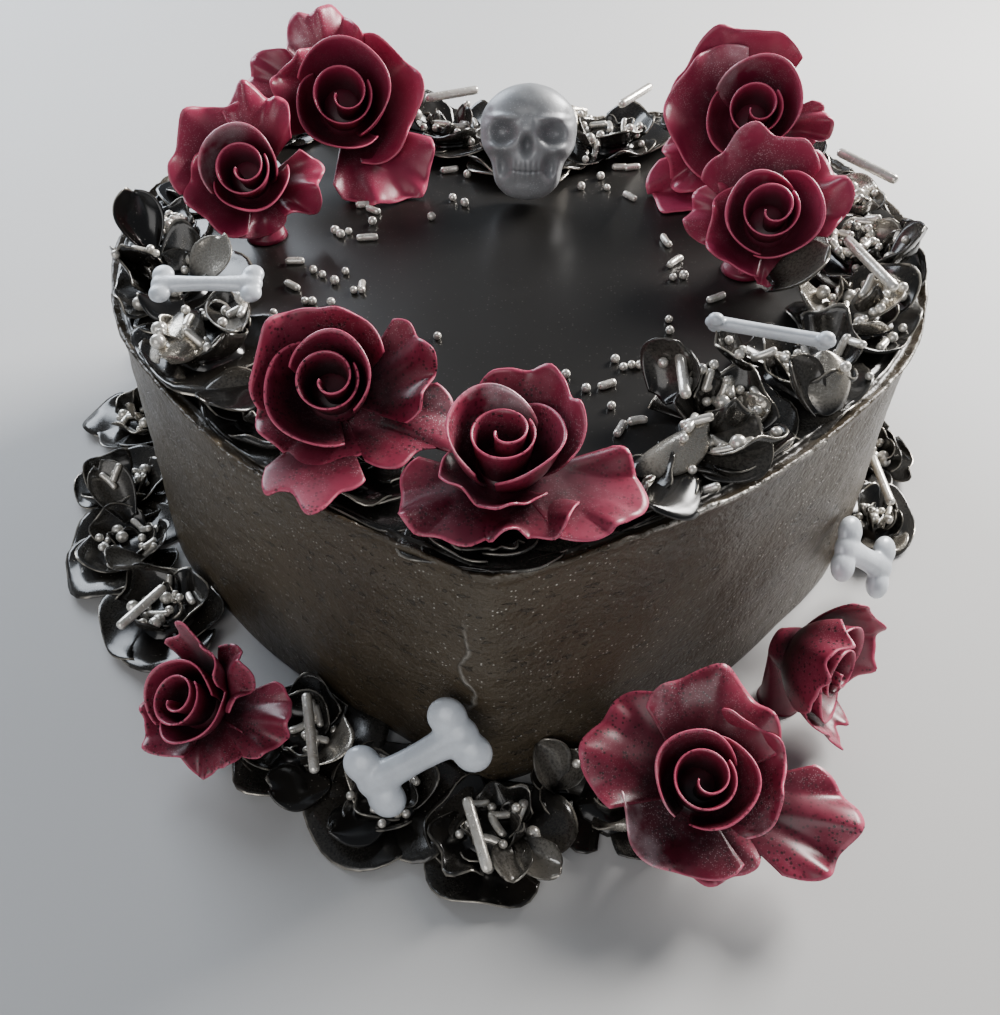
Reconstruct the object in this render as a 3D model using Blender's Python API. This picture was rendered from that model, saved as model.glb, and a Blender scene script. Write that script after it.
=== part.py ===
"""A heart-shaped celebration cake under black icing, with piped flowers, paste roses, skull and bones.

Lengths in this script are millimetres until new_object() turns them into metres. The origin is the
middle of the cake's base, +Z is up and the heart's point looks along -Y.
"""

import math
import random

import bpy
import bmesh
import numpy as np
from mathutils import Matrix, Vector

MM = 0.001

# The cake: a heart of two lobes, full cheeks, two long side arcs, a blunt point and a rounded notch
CAKE_HEIGHT = 80.0
LOBE_X = 47.5
LOBE_Y = 50.5
LOBE_RADIUS = 58.0
LOBE_START = math.radians(33.0)
CHEEK_RADIUS = 102.0
CHEEK_START = math.radians(-38.5)
SIDE_RADIUS = 210.0
POINT_RADIUS = 12.0
NOTCH_RADIUS = 9.0
# The hand-iced point sits a little right of the middle
POINT_SHIFT = 2.4
POINT_REACH = 26.0
OUTLINE_STEPS = 54
# Rows up the side and over the lip: distance out from the heart's outline, and height
SIDE_ROWS = ((0.6, 0.0), (0.0, 38.0), (0.5, 76.5), (1.8, 80.9), (-2.2, 80.2))
LIP_ROW = 3
TOP_INSET = -6.5
WAVER = 0.55
# The left cheek leans out toward its foot
FLARE = 4.5

# Gap that two touching pieces keep, and in metres how close two points of a union may lie
GAP = 0.35
MERGE = 0.000003

# The piped flowers on the rim and round the foot
RIM_INSET = 15.0
RIM_RADIUS = 14.6
RIM_HEIGHT = 14.0
RIM_PER_SIDE = 9
BED_INSET = 10.5
BED_RADIUS = 9.6
FOOT_OUTSET = 14.8
FOOT_NARROW = 9.8
FOOT_RADIUS = 14.6
FOOT_HEIGHT = 11.0
FOOT_PER_SIDE = 11
PETALS = 4

# Roses of rolled paste
PASTE = 1.3
EYE_HEIGHT = 18.0
ROSE_REST = 6.0
BAND_WIDTH = 27.0
# The coiled strip in a rose's heart: turns, radius within and without, foot, first angle
COIL_TURNS = 1.55
COIL_START = 1.4
COIL_END = 6.4
COIL_FOOT = 6.0
COIL_ANGLE = 200.0
COIL_STEPS_PER_TURN = 5.8

# Sprinkles: rods and pearls
ROD_LENGTH = 5.6
ROD_RADIUS = 0.95
PEARL_RADIUS = 1.25
LONG_ROD_RADIUS = 1.3
# Long rods on single flowers: both ends
LONG_RODS = {
    "foot_flower_09": ((-46.0, -90.0, 10.0), (-40.0, -109.0, 8.5)),
    "foot_flower_11": ((-2.0, -116.0, 9.0), (4.0, -131.0, 8.0)),
    "foot_flower_08": ((-102.0, -71.0, 8.0), (-94.0, -57.0, 8.0)),
    "foot_flower_16": ((117.5, 9.0, 8.5), (119.5, -9.0, 8.5)),
    "rim_flower_13": ((87.5, 3.0, 90.0), (94.0, -13.0, 90.0)),
    "rim_flower_15": ((94.0, 58.0, 87.0), (104.0, 45.0, 87.0)),
}


def clear_scene():
    """Remove every object that the file starts with."""
    for item in list(bpy.data.objects):
        bpy.data.objects.remove(item)


def paste_material(name, colour, roughness, metallic):
    """A Principled material with the piece's colour, roughness and metallic value."""
    material = bpy.data.materials.new(name)
    material.use_nodes = True
    shader = material.node_tree.nodes["Principled BSDF"]
    shader.inputs["Base Color"].default_value = (*colour, 1.0)
    shader.inputs["Roughness"].default_value = roughness
    shader.inputs["Metallic"].default_value = metallic
    return material


def new_object(name, points, faces, material):
    """An object from points in millimetres, its faces turned outward."""
    mesh = bpy.data.meshes.new(name)
    mesh.from_pydata([Vector(p) * MM for p in points], [], [tuple(f) for f in faces])
    work = bmesh.new()
    work.from_mesh(mesh)
    bmesh.ops.recalc_face_normals(work, faces=work.faces)
    bmesh.ops.triangulate(work, faces=[f for f in work.faces if len(f.verts) > 4])
    work.to_mesh(mesh)
    work.free()
    mesh.materials.append(material)
    piece = bpy.data.objects.new(name, mesh)
    bpy.context.scene.collection.objects.link(piece)
    mesh.shade_smooth()
    mesh.set_sharp_from_angle(angle=math.radians(55))
    return piece


def fuse(piece, extras):
    """Join the extras to the piece by one union, and remove them."""
    group = bpy.data.collections.new(piece.name + "_extras")
    bpy.context.scene.collection.children.link(group)
    for extra in extras:
        bpy.context.scene.collection.objects.unlink(extra)
        group.objects.link(extra)
    union = piece.modifiers.new("Fuse", "BOOLEAN")
    union.operation = "UNION"
    union.operand_type = "COLLECTION"
    union.collection = group
    for solver, merge in (("EXACT", MERGE), ("EXACT", 0.0), ("MANIFOLD", MERGE), ("MANIFOLD", 0.0)):
        union.solver = solver
        scene_state = bpy.context.evaluated_depsgraph_get()
        scene_state.update()
        joined = bpy.data.meshes.new_from_object(piece.evaluated_get(scene_state))
        if tidy_union(joined, merge):
            break
    piece.modifiers.clear()
    piece.data = joined
    joined.shade_smooth()
    joined.set_sharp_from_angle(angle=math.radians(55))
    for extra in extras:
        bpy.data.objects.remove(extra)
    bpy.data.collections.remove(group)
    return piece


def tidy_union(mesh, merge):
    """Keep the largest body of a joined mesh, split its faces evenly, and say whether it is closed."""
    work = bmesh.new()
    work.from_mesh(mesh)
    if merge:
        bmesh.ops.remove_doubles(work, verts=work.verts, dist=merge)
    seen = set()
    bodies = []
    for start in work.verts:
        if start in seen:
            continue
        body = [start]
        seen.add(start)
        for vert in body:
            for edge in vert.link_edges:
                other = edge.other_vert(vert)
                if other not in seen:
                    seen.add(other)
                    body.append(other)
        bodies.append(body)
    bodies.sort(key=len, reverse=True)
    for body in bodies[1:]:
        bmesh.ops.delete(work, geom=body, context="VERTS")
    bmesh.ops.triangulate(work, faces=work.faces)
    closed = all(len(edge.link_faces) == 2 for edge in work.edges)
    work.to_mesh(mesh)
    work.free()
    return closed


def half_outline(offset):
    """The arcs of the heart's right half from the point to the notch: centre, radius, start, end, side."""
    cheek_x = LOBE_X - (CHEEK_RADIUS - LOBE_RADIUS) * math.cos(LOBE_START)
    cheek_y = LOBE_Y - (CHEEK_RADIUS - LOBE_RADIUS) * math.sin(LOBE_START)
    side_x = cheek_x - (SIDE_RADIUS - CHEEK_RADIUS) * math.cos(CHEEK_START)
    side_y = cheek_y - (SIDE_RADIUS - CHEEK_RADIUS) * math.sin(CHEEK_START)
    point_r = max(POINT_RADIUS + offset, 1.5)
    notch_r = max(NOTCH_RADIUS - offset, 2.0)
    point_y = side_y - math.sqrt((SIDE_RADIUS + offset - point_r) ** 2 - side_x**2)
    notch_y = LOBE_Y + math.sqrt((LOBE_RADIUS + offset + notch_r) ** 2 - LOBE_X**2)
    low = math.atan2(point_y - side_y, -side_x)
    high = math.atan2(notch_y - LOBE_Y, -LOBE_X)
    return (
        ((0.0, point_y), point_r, -math.pi / 2, low, 1),
        ((side_x, side_y), SIDE_RADIUS + offset, low, CHEEK_START, 1),
        ((cheek_x, cheek_y), CHEEK_RADIUS + offset, CHEEK_START, LOBE_START, 1),
        ((LOBE_X, LOBE_Y), LOBE_RADIUS + offset, LOBE_START, high, 1),
        ((0.0, notch_y), notch_r, high - math.pi, -math.pi / 2, -1),
    )


def half_length(offset):
    """Length of the outline from the point to the notch."""
    return sum(radius * abs(end - start) for _, radius, start, end, _ in half_outline(offset))


def station(share, offset):
    """Place and outward direction at a share of the half outline; a negative share is on the left."""
    mirror = 1.0 if share >= 0 else -1.0
    left = abs(share) * half_length(offset)
    for centre, radius, start, end, side in half_outline(offset):
        length = radius * abs(end - start)
        if left <= length or side < 0:
            turn = start + (end - start) * min(1.0, left / length)
            out = Vector((mirror * side * math.cos(turn), side * math.sin(turn), 0.0))
            x = centre[0] + radius * math.cos(turn)
            y = centre[1] + radius * math.sin(turn)
            shift = POINT_SHIFT * math.exp(-(((y + 1.7 * LOBE_RADIUS) / POINT_REACH) ** 2))
            return Vector((mirror * x + shift, y, 0.0)), out
        left -= length
    return None


def outline_shares(steps):
    """Shares round the whole heart, counter-clockwise from the point."""
    return [2.0 * i / steps if i <= steps / 2 else -2.0 * (steps - i) / steps for i in range(steps)]


OUTLINE_SAMPLE = np.array([station(share, 0.0)[0][:2] for share in outline_shares(240)])


def inset_at(x, y):
    """How far a place on the top lies in from the heart's outline."""
    return float(np.min(np.hypot(OUTLINE_SAMPLE[:, 0] - x, OUTLINE_SAMPLE[:, 1] - y)))


def flare(share, height):
    """How far the left cheek leans out at a height."""
    return FLARE * (1.0 - height / CAKE_HEIGHT) * math.exp(-(((share + 0.45) / 0.22) ** 2))


def waver(share, height):
    """Uneven hand-spread icing: a small shift in and out."""
    turn = share * math.pi
    return WAVER * (math.sin(5 * turn + 0.05 * height) + 0.6 * math.sin(11 * turn - 0.08 * height + 1.3))


def rod(name, centre, heading, tilt, length, radius, material):
    """A small rod with rounded ends, lying along its heading."""
    sides = 4
    rows = ((-0.5, 0.5), (-0.36, 1.0), (0.36, 1.0), (0.5, 0.5))
    points = []
    for along, width in rows:
        for k in range(sides):
            turn = 2 * math.pi * k / sides
            points.append((along * length, radius * width * math.cos(turn), radius * width * math.sin(turn)))
    faces = [tuple(range(sides)), tuple(range(len(points) - sides, len(points)))]
    for row in range(len(rows) - 1):
        for k in range(sides):
            low = row * sides
            faces.append((low + k, low + (k + 1) % sides, low + sides + (k + 1) % sides, low + sides + k))
    place = Matrix.Translation(centre) @ Matrix.Rotation(heading, 4, "Z") @ Matrix.Rotation(-tilt, 4, "Y")
    return new_object(name, [place @ Vector(p) for p in points], faces, material)


def pearl(name, centre, radius, material):
    """A small round pearl."""
    work = bmesh.new()
    bmesh.ops.create_icosphere(work, subdivisions=1, radius=radius)
    points = [Vector(centre) + v.co for v in work.verts]
    faces = [[v.index for v in f.verts] for f in work.faces]
    work.free()
    return new_object(name, points, faces, material)


# Sprinkles that lie on the smooth top: middle of a trail, its spread and heading, rods and pearls
TOP_TRAILS = (
    ((-50.0, 6.0), 13.0, -55.0, 3, 4),
    ((-36.0, 42.0), 10.0, -20.0, 1, 3),
    ((26.0, 66.0), 11.0, 80.0, 2, 2),
    ((45.0, 18.0), 12.0, -75.0, 1, 2),
    ((30.0, -40.0), 12.0, -60.0, 2, 3),
)


def build_cake(material):
    """The iced heart: one solid with a wavering side, a raised lip and sprinkles on its top."""
    shares = outline_shares(OUTLINE_STEPS)
    points = []
    for row, (offset, height) in enumerate(SIDE_ROWS):
        for share in shares:
            shift = waver(share, height) + flare(share, height) if row <= LIP_ROW else 0.0
            lift = 0.5 * waver(share, height) if row == LIP_ROW else 0.0
            place, _ = station(share, offset + shift)
            points.append((place.x, place.y, height + lift))
    for share in shares:
        place, _ = station(share, TOP_INSET)
        points.append((place.x, place.y, CAKE_HEIGHT))
    count = len(shares)
    rows = len(SIDE_ROWS) + 1
    faces = [tuple(range(count)), tuple(range((rows - 1) * count, rows * count))]
    for row in range(rows - 1):
        for k in range(count):
            low = row * count
            faces.append((low + k, low + (k + 1) % count, low + count + (k + 1) % count, low + count + k))
    cake = new_object("cake", points, faces, material)
    draw = random.Random(11)
    extras = []
    for middle, spread, heading, rods, pearls in TOP_TRAILS:
        line = math.radians(heading)
        for k in range(rods + pearls):
            along = spread * (2 * (k + 0.5) / (rods + pearls) - 1)
            across = draw.uniform(-0.3, 0.3) * spread
            x = middle[0] + along * math.cos(line) - across * math.sin(line)
            y = middle[1] + along * math.sin(line) + across * math.cos(line)
            turn = draw.uniform(0, math.pi)
            label = f"top_sprinkle_{len(extras)}"
            if k < rods:
                spot = (x, y, CAKE_HEIGHT + 0.6 * ROD_RADIUS)
                extras.append(rod(label, spot, turn, 0.0, ROD_LENGTH, ROD_RADIUS, material))
            else:
                spot = (x, y, CAKE_HEIGHT + 0.6 * PEARL_RADIUS)
                extras.append(pearl(label, spot, PEARL_RADIUS, material))
    return fuse(cake, extras)


def piped_flower(name, middle, out, size, height, seed, base_z, material, sprinkles, fineness):
    """A piped flower: cupped petals that flare from a narrow base round a sunken eye."""
    draw = random.Random(seed)
    petals = PETALS
    steps = petals * fineness
    spin = draw.uniform(0, 2 * math.pi)
    lengths = [draw.uniform(0.93, 1.0) for _ in range(petals)]
    heights = [draw.uniform(0.72, 1.0) for _ in range(petals)]
    along = Vector((-out.y, out.x, 0.0))
    rings = ((0.66, 0.0, 0.0), (1.0, 0.76, 0.44), (0.52, 0.42, -0.15))
    points = []
    for share, level, cup in rings:
        for k in range(steps):
            lobe = abs(math.sin(math.pi * k * petals / steps)) ** 0.7
            petal = k * petals // steps
            reach = share * (0.78 + 0.22 * lobe) * lengths[petal]
            rise = height * heights[petal] * (level + cup * (lobe - 0.5))
            turn = spin + 2 * math.pi * k / steps
            spot = middle + along * (size[0] * reach * math.cos(turn)) + out * (size[1] * reach * math.sin(turn))
            points.append((spot.x, spot.y, base_z + max(0.0, rise)))
    points.append((middle.x, middle.y, base_z + 0.26 * height))
    faces = [tuple(range(steps))]
    for ring in range(len(rings) - 1):
        for k in range(steps):
            low = ring * steps
            faces.append((low + k, low + (k + 1) % steps, low + steps + (k + 1) % steps, low + steps + k))
    top = (len(rings) - 1) * steps
    faces += [(top + k, top + (k + 1) % steps, len(points) - 1) for k in range(steps)]
    flower = new_object(name, points, faces, material)
    extras = []
    for k in range(sprinkles):
        turn = draw.uniform(0, 2 * math.pi)
        spot = middle + Vector((math.cos(turn), math.sin(turn), 0.0)) * (0.30 * min(size))
        lift = base_z + 0.40 * height
        label = f"{name}_sprinkle_{k}"
        if k % 2 == 0:
            heading = draw.uniform(0, math.pi)
            centre = (spot.x, spot.y, lift + ROD_RADIUS)
            extras.append(rod(label, centre, heading, 0.5, ROD_LENGTH + 1.5, ROD_RADIUS * 1.2, material))
        else:
            extras.append(pearl(label, (spot.x, spot.y, lift + PEARL_RADIUS), PEARL_RADIUS * 1.6, material))
    if name in LONG_RODS:
        start, end = (Vector(spot) for spot in LONG_RODS[name])
        run = end - start
        heading = math.atan2(run.y, run.x)
        tilt = math.atan2(run.z, math.hypot(run.x, run.y))
        label = f"{name}_long"
        extras.append(rod(label, (start + end) / 2, heading, tilt, run.length, LONG_ROD_RADIUS, material))
    return fuse(flower, extras) if extras else flower


# Heights of the rim flowers that a rose leans over, numbered from the point, left side negative
RIM_LOW = {-8: 9.0, -7: 8.0, -5: 6.0, -2: 5.0, -1: 5.0, 0: 5.0, 1: 5.5, 6: 8.0, 7: 9.0, 8: 10.0}
# Flowers round the foot that make way for roses, and those that are moved along toward the point
FOOT_GAPS = (2, 3, 4)
FOOT_SHIFTS = {-4: -0.22, -3: -0.34, -2: 0.38, -1: 0.24, 0: 0.10, 1: -0.04}


def build_rim_flowers(material):
    """Piped flowers along the rim, low and narrow ones under the roses."""
    for number in range(-RIM_PER_SIDE, RIM_PER_SIDE + 2):
        low = number in RIM_LOW
        middle, out = station(number / (RIM_PER_SIDE + 1), -BED_INSET if low else -RIM_INSET)
        size = (RIM_RADIUS, BED_RADIUS if low else RIM_RADIUS)
        height = RIM_LOW.get(number, RIM_HEIGHT)
        name = f"rim_flower_{number + RIM_PER_SIDE:02d}"
        base_z = CAKE_HEIGHT + GAP
        sprinkles, fineness = (0, 3) if low else (2, 4)
        piped_flower(name, middle, out, size, height, 40 + number, base_z, material, sprinkles, fineness)


def build_foot_flowers(material):
    """Piped flowers on the board round the foot of the cake, narrower on the right cheek."""
    for number in range(-FOOT_PER_SIDE, FOOT_PER_SIDE + 1):
        if number in FOOT_GAPS:
            continue
        share = (number + FOOT_SHIFTS.get(number, 0.0)) / (FOOT_PER_SIDE + 0.5)
        outset = (FOOT_NARROW if number > 3 else FOOT_OUTSET) + flare(share, 0.0) + WAVER
        middle, out = station(share, outset)
        size = (FOOT_RADIUS, outset - flare(share, 0.0) - 1.5)
        name = f"foot_flower_{number + FOOT_PER_SIDE:02d}"
        piped_flower(name, middle, out, size, FOOT_HEIGHT, 90 + number, 0.0, material, (number + 1) % 2, 3)


def sheet_solid(name, grid, thickness, material):
    """A closed thin solid from a grid of points, both faces split alike."""
    rows, columns = grid.shape[:2]
    across = np.gradient(grid, axis=0)
    along = np.gradient(grid, axis=1)
    normal = np.cross(across, along)
    normal /= np.maximum(np.linalg.norm(normal, axis=2, keepdims=True), 1e-9)
    upper = (grid + normal * thickness / 2).reshape(-1, 3)
    lower = (grid - normal * thickness / 2).reshape(-1, 3)
    points = np.vstack((upper, lower))
    size = rows * columns
    faces = []
    for i in range(rows - 1):
        for j in range(columns - 1):
            a, b = i * columns + j, i * columns + j + 1
            c, d = a + columns, b + columns
            faces += [(a, b, d), (a, d, c), (size + a, size + d, size + b), (size + a, size + c, size + d)]
    rim = [j for j in range(columns)]
    rim += [i * columns + columns - 1 for i in range(1, rows)]
    rim += [(rows - 1) * columns + j for j in range(columns - 2, -1, -1)]
    rim += [i * columns for i in range(rows - 2, 0, -1)]
    for k, start in enumerate(rim):
        stop = rim[(k + 1) % len(rim)]
        faces.append((start, stop, size + stop, size + start))
    return new_object(name, points, faces, material)


# Petal kinds: root radius, root height, middle radius share, middle height share, lip curl, wave, waves
CUP = (4.6, 5.0, 0.95, 0.25, 0.6, 0.0, 1)
MIDDLE = (4.8, 4.0, 0.90, 0.30, 1.4, 0.8, 2)
OPEN = (4.8, 3.0, 0.60, 0.75, 2.0, 1.8, 2)
PETAL_COLUMNS = 4
PETAL_ROWS = 3


def petal_grid(seed, kind, angle, span, reach, top, own_wave=None, own_phase=None):
    """Grid of points of one petal in the rose's own frame: a curved meridian swept round its angle."""
    root_r, root_z, mid_r, mid_z, curl, wave, waves = kind
    wave = wave if own_wave is None else own_wave
    draw = random.Random(seed)
    phase = draw.uniform(0, 2 * math.pi)
    phase = phase if own_phase is None else own_phase
    lap = draw.uniform(0.9, 1.8)
    grid = np.zeros((PETAL_COLUMNS, PETAL_ROWS, 3))
    for i in range(PETAL_COLUMNS):
        u = 2.0 * i / (PETAL_COLUMNS - 1) - 1.0
        for j in range(PETAL_ROWS):
            t = (j / (PETAL_ROWS - 1)) * (1.0 - 0.30 * abs(u) ** 2.4)
            lip = max(0.0, t - 0.6) / 0.4
            middle_r = root_r + mid_r * (reach - root_r)
            middle_z = root_z + mid_z * (top - root_z)
            r = (1 - t) ** 2 * root_r + 2 * t * (1 - t) * middle_r + t * t * reach + lap * u * t
            z = (1 - t) ** 2 * root_z + 2 * t * (1 - t) * middle_z + t * t * top
            r += curl * lip * lip * 0.5
            z += wave * t * t * math.sin(waves * math.pi * u + phase) - curl * lip * lip * 0.5
            turn = math.radians(angle + 0.5 * span * u)
            grid[i, j] = (r * math.cos(turn), r * math.sin(turn), z)
    return grid


def coil_grid():
    """Grid of points of the coiled strip in a rose's heart."""
    steps = int(round(COIL_STEPS_PER_TURN * COIL_TURNS))
    grid = np.zeros((steps + 1, 2, 3))
    for i in range(steps + 1):
        share = i / steps
        turn = math.radians(COIL_ANGLE) + 2 * math.pi * COIL_TURNS * share
        radius = COIL_START + (COIL_END - COIL_START) * (1.0 - (1.0 - share) ** 3.2)
        grid[i, 0] = (0.72 * radius * math.cos(turn), 0.72 * radius * math.sin(turn), COIL_FOOT)
        grid[i, 1] = (radius * math.cos(turn), radius * math.sin(turn), EYE_HEIGHT - 1.2 * share)
    return grid


def goblet(name, place, scale, material):
    """The solid heart of a rose, from which its petals grow."""
    sides = 7
    rows = ((4.4, 0.0), (6.0, 3.5), (5.6, 7.5))
    points = []
    for radius, height in rows:
        for k in range(sides):
            turn = 2 * math.pi * (k + 0.3) / sides
            points.append((radius * math.cos(turn) * scale, radius * math.sin(turn) * scale, height * scale))
    points.append((0.0, 0.0, 8.3 * scale))
    faces = [tuple(range(sides))]
    for row in range(len(rows) - 1):
        for k in range(sides):
            low = row * sides
            faces.append((low + k, low + (k + 1) % sides, low + sides + (k + 1) % sides, low + sides + k))
    top = (len(rows) - 1) * sides
    faces += [(top + k, top + (k + 1) % sides, len(points) - 1) for k in range(sides)]
    return new_object(name, [place @ Vector(p) for p in points], faces, material)


def stalk(name, foot, place, scale, material):
    """The paste foot that carries a rose's head: a flat round base lofted up into the head."""
    sides = 6
    points = []
    for k in range(sides):
        turn = 2 * math.pi * k / sides
        points.append(Vector((foot[0] + 6.0 * math.cos(turn), foot[1] + 6.0 * math.sin(turn), foot[2])))
    for k in range(sides):
        turn = 2 * math.pi * k / sides
        points.append(place @ Vector((3.4 * scale * math.cos(turn), 3.4 * scale * math.sin(turn), 2.2 * scale)))
    faces = [tuple(range(sides)), tuple(range(sides, 2 * sides))]
    faces += [(k, (k + 1) % sides, sides + (k + 1) % sides, sides + k) for k in range(sides)]
    return new_object(name, points, faces, material)


# Each rose: the middle of its eye, its lean and the way it leans, its scale, its foot, petals
# A petal: kind, angle, span, reach, top, and its own wave and phase where they matter
ROSES = {
    "rose_front_right": (
        (3.8, -80.0, 100.0), 8.0, -88.0, 1.0, (3.5, -74.0),
        (
            (CUP, 140, 205, 10.0, 21.0),
            (MIDDLE, 50, 130, 16.5, 20.0),
            (MIDDLE, 248, 140, 13.5, 13.0),
            (OPEN, 340, 72, 28.5, 6.0),
            (OPEN, 222, 85, 23.0, 7.0),
            (MIDDLE, 290, 80, 18.5, 8.5, 2.0, 3.6),
        ),
    ),
    "rose_front_left": (
        (-33.5, -69.5, 102.5), 34.0, -82.0, 1.0, (-32.0, -58.0),
        (
            (CUP, 60, 205, 9.0, 19.5),
            (MIDDLE, 122, 165, 16.0, 16.5),
            (MIDDLE, 18, 76, 21.0, 14.0, 1.8, 0.0),
            (OPEN, 335, 75, 27.0, 6.0, 3.0, 0.4),
            (MIDDLE, 240, 125, 17.0, 9.0),
            (OPEN, 268, 50, 33.0, 5.0),
        ),
    ),
    "rose_back_left_low": (
        (-73.5, 15.0, 105.0), 46.0, -80.0, 1.08, (-72.5, 22.0),
        (
            (CUP, 110, 220, 9.5, 19.0),
            (MIDDLE, 215, 120, 15.0, 11.0),
            (MIDDLE, 140, 125, 18.5, 13.0),
            (OPEN, 82, 70, 20.0, 13.0),
            (OPEN, 358, 76, 17.5, 8.0, 3.0, 1.0),
            (OPEN, 272, 110, 13.0, 5.0),
        ),
    ),
    "rose_back_left_high": (
        (-53.5, 55.5, 108.5), 48.0, -76.0, 1.32, (-50.0, 63.0),
        (
            (CUP, 55, 220, 10.5, 19.5),
            (MIDDLE, 165, 110, 14.0, 14.0),
            (MIDDLE, 10, 150, 16.5, 13.0),
            (OPEN, 112, 66, 20.5, 11.0, 2.0, 0.6),
            (OPEN, 170, 60, 22.0, 8.0),
            (OPEN, 309, 78, 25.0, 13.0),
        ),
    ),
    "rose_back_right_high": (
        (66.5, 55.5, 108.5), 46.0, -98.0, 1.15, (61.5, 63.0),
        (
            (CUP, 40, 215, 11.0, 20.0),
            (MIDDLE, 165, 140, 20.5, 15.0),
            (MIDDLE, 115, 130, 21.5, 14.0),
            (OPEN, 212, 64, 23.5, 8.0),
            (OPEN, 228, 58, 33.5, 5.0),
            (OPEN, 350, 55, 18.0, 9.0),
        ),
    ),
    "rose_back_right_low": (
        (66.0, 6.5, 103.5), 42.0, -102.0, 1.08, (63.5, 14.0),
        (
            (CUP, 150, 215, 9.5, 18.5),
            (MIDDLE, 195, 130, 14.0, 12.5),
            (MIDDLE, 95, 105, 19.5, 15.0, 1.6, 1.2),
            (OPEN, 28, 95, 19.0, 9.0),
            (OPEN, 165, 65, 18.5, 8.0),
            (OPEN, 262, 76, 12.5, 4.0),
        ),
    ),
    "rose_foot_left": (
        (-75.5, -100.0, 25.0), 30.0, -130.0, 0.98, (-69.0, -92.0),
        (
            (CUP, 110, 205, 9.5, 18.0),
            (MIDDLE, 200, 130, 14.0, 12.0),
            (MIDDLE, 60, 100, 15.5, 24.0, 2.2, 0.5),
            (OPEN, 20, 70, 19.0, 16.0, 3.2, 0.9),
            (OPEN, 345, 60, 25.0, 5.0),
            (OPEN, 285, 90, 16.5, 5.0),
        ),
    ),
    "rose_foot_right": (
        (52.0, -114.0, 30.0), 16.0, -95.0, 1.08, (53.5, -108.0),
        (
            (CUP, 130, 205, 9.5, 19.5),
            (MIDDLE, 15, 130, 16.5, 16.0),
            (MIDDLE, 230, 140, 18.0, 10.0),
            (OPEN, 75, 105, 22.5, 16.0),
            (OPEN, 152, 92, 24.5, 12.0, 2.2, 0.2),
            (OPEN, 345, 60, 32.0, 7.0),
            (OPEN, 285, 80, 18.0, 5.0),
        ),
    ),
    "rose_foot_bud": (
        (90.5, -79.0, 23.0), 78.0, -38.0, 1.05, (79.5, -72.0),
        (
            (CUP, 80, 210, 10.5, 17.5),
            (MIDDLE, 180, 120, 15.0, 20.0),
            (MIDDLE, 40, 120, 16.5, 19.0),
            (MIDDLE, 290, 90, 15.5, 22.0),
        ),
    ),
}


def rose_rest(x, y, on_cake):
    """Lowest height that a petal may have at a place: on the piping over the band, else on the icing."""
    if not on_cake:
        return 0.5 + PASTE
    inset = inset_at(x, y)
    share = min(1.0, max(0.0, (inset - BAND_WIDTH + 4.0) / 8.0))
    return CAKE_HEIGHT + 0.5 + PASTE + (1.0 - share) * ROSE_REST


def build_rose(name, spec, material):
    """A rose of rolled paste: a coiled heart, cupped petals round it and open petals outside."""
    eye, lean, toward, scale, foot, petals = spec
    on_cake = eye[2] > CAKE_HEIGHT
    way = math.radians(toward)
    lean_axis = Vector((-math.sin(way), math.cos(way), 0.0))
    turn = Matrix.Rotation(math.radians(lean), 4, lean_axis)
    axis = turn @ Vector((0.0, 0.0, 1.0))
    origin = Vector(eye) - axis * EYE_HEIGHT * scale
    place = Matrix.Translation(origin) @ turn
    head = goblet(name, place, scale, material)
    base_z = CAKE_HEIGHT + GAP if on_cake else 0.0
    extras = [stalk(name + "_stalk", (foot[0], foot[1], base_z), place, scale, material)]
    grids = [coil_grid()]
    for number, petal in enumerate(petals):
        grids.append(petal_grid(7 * number + len(name), *petal))
    for number, grid in enumerate(grids):
        for point in grid.reshape(-1, 3):
            world = place @ Vector(point * scale)
            world.z = max(world.z, rose_rest(world.x, world.y, on_cake))
            point[:] = world
        extras.append(sheet_solid(f"{name}_petal_{number}", grid, PASTE, material))
    return fuse(head, extras)


# The skull leans back on the piping behind it
SKULL_SIZE = (14.3, 9.5, 16.2)
SKULL_PLACE = (1.5, 51.5, 97.0)
SKULL_LEAN = 22.0
# Hollows and swells of the face: side, height, width, depth; mirrored where side is not 0
SKULL_MARKS = (
    (0.42, 0.02, 0.24, -0.48),
    (0.00, -0.24, 0.13, -0.34),
    (0.66, -0.24, 0.18, 0.16),
    (0.50, -0.56, 0.20, -0.22),
    (0.00, -0.54, 0.26, 0.14),
    (0.42, 0.30, 0.24, 0.10),
)


def build_skull(material):
    """A small moulded skull with a flat back, sockets, a nose hole and a jaw."""
    columns = 20
    rows = 13
    lean = Matrix.Rotation(math.radians(-SKULL_LEAN), 4, "X")
    place = Matrix.Translation(SKULL_PLACE) @ lean
    points = []
    for i in range(1, rows):
        polar = math.pi * i / rows
        for k in range(columns):
            turn = 2 * math.pi * k / columns
            girth = math.sin(polar) ** 0.86
            points.append(skull_point(girth * math.sin(turn), -girth * math.cos(turn), math.cos(polar)))
    points.append(skull_point(0.0, 0.0, 1.0))
    points.append(skull_point(0.0, 0.0, -1.0))
    top, bottom = len(points) - 2, len(points) - 1
    faces = []
    for i in range(rows - 2):
        for k in range(columns):
            low = i * columns
            faces.append((low + k, low + (k + 1) % columns, low + columns + (k + 1) % columns, low + columns + k))
    last = (rows - 2) * columns
    for k in range(columns):
        faces.append((top, k, (k + 1) % columns))
        faces.append((bottom, last + (k + 1) % columns, last + k))
    return new_object("skull", [place @ Vector(p) for p in points], faces, material)


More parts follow.
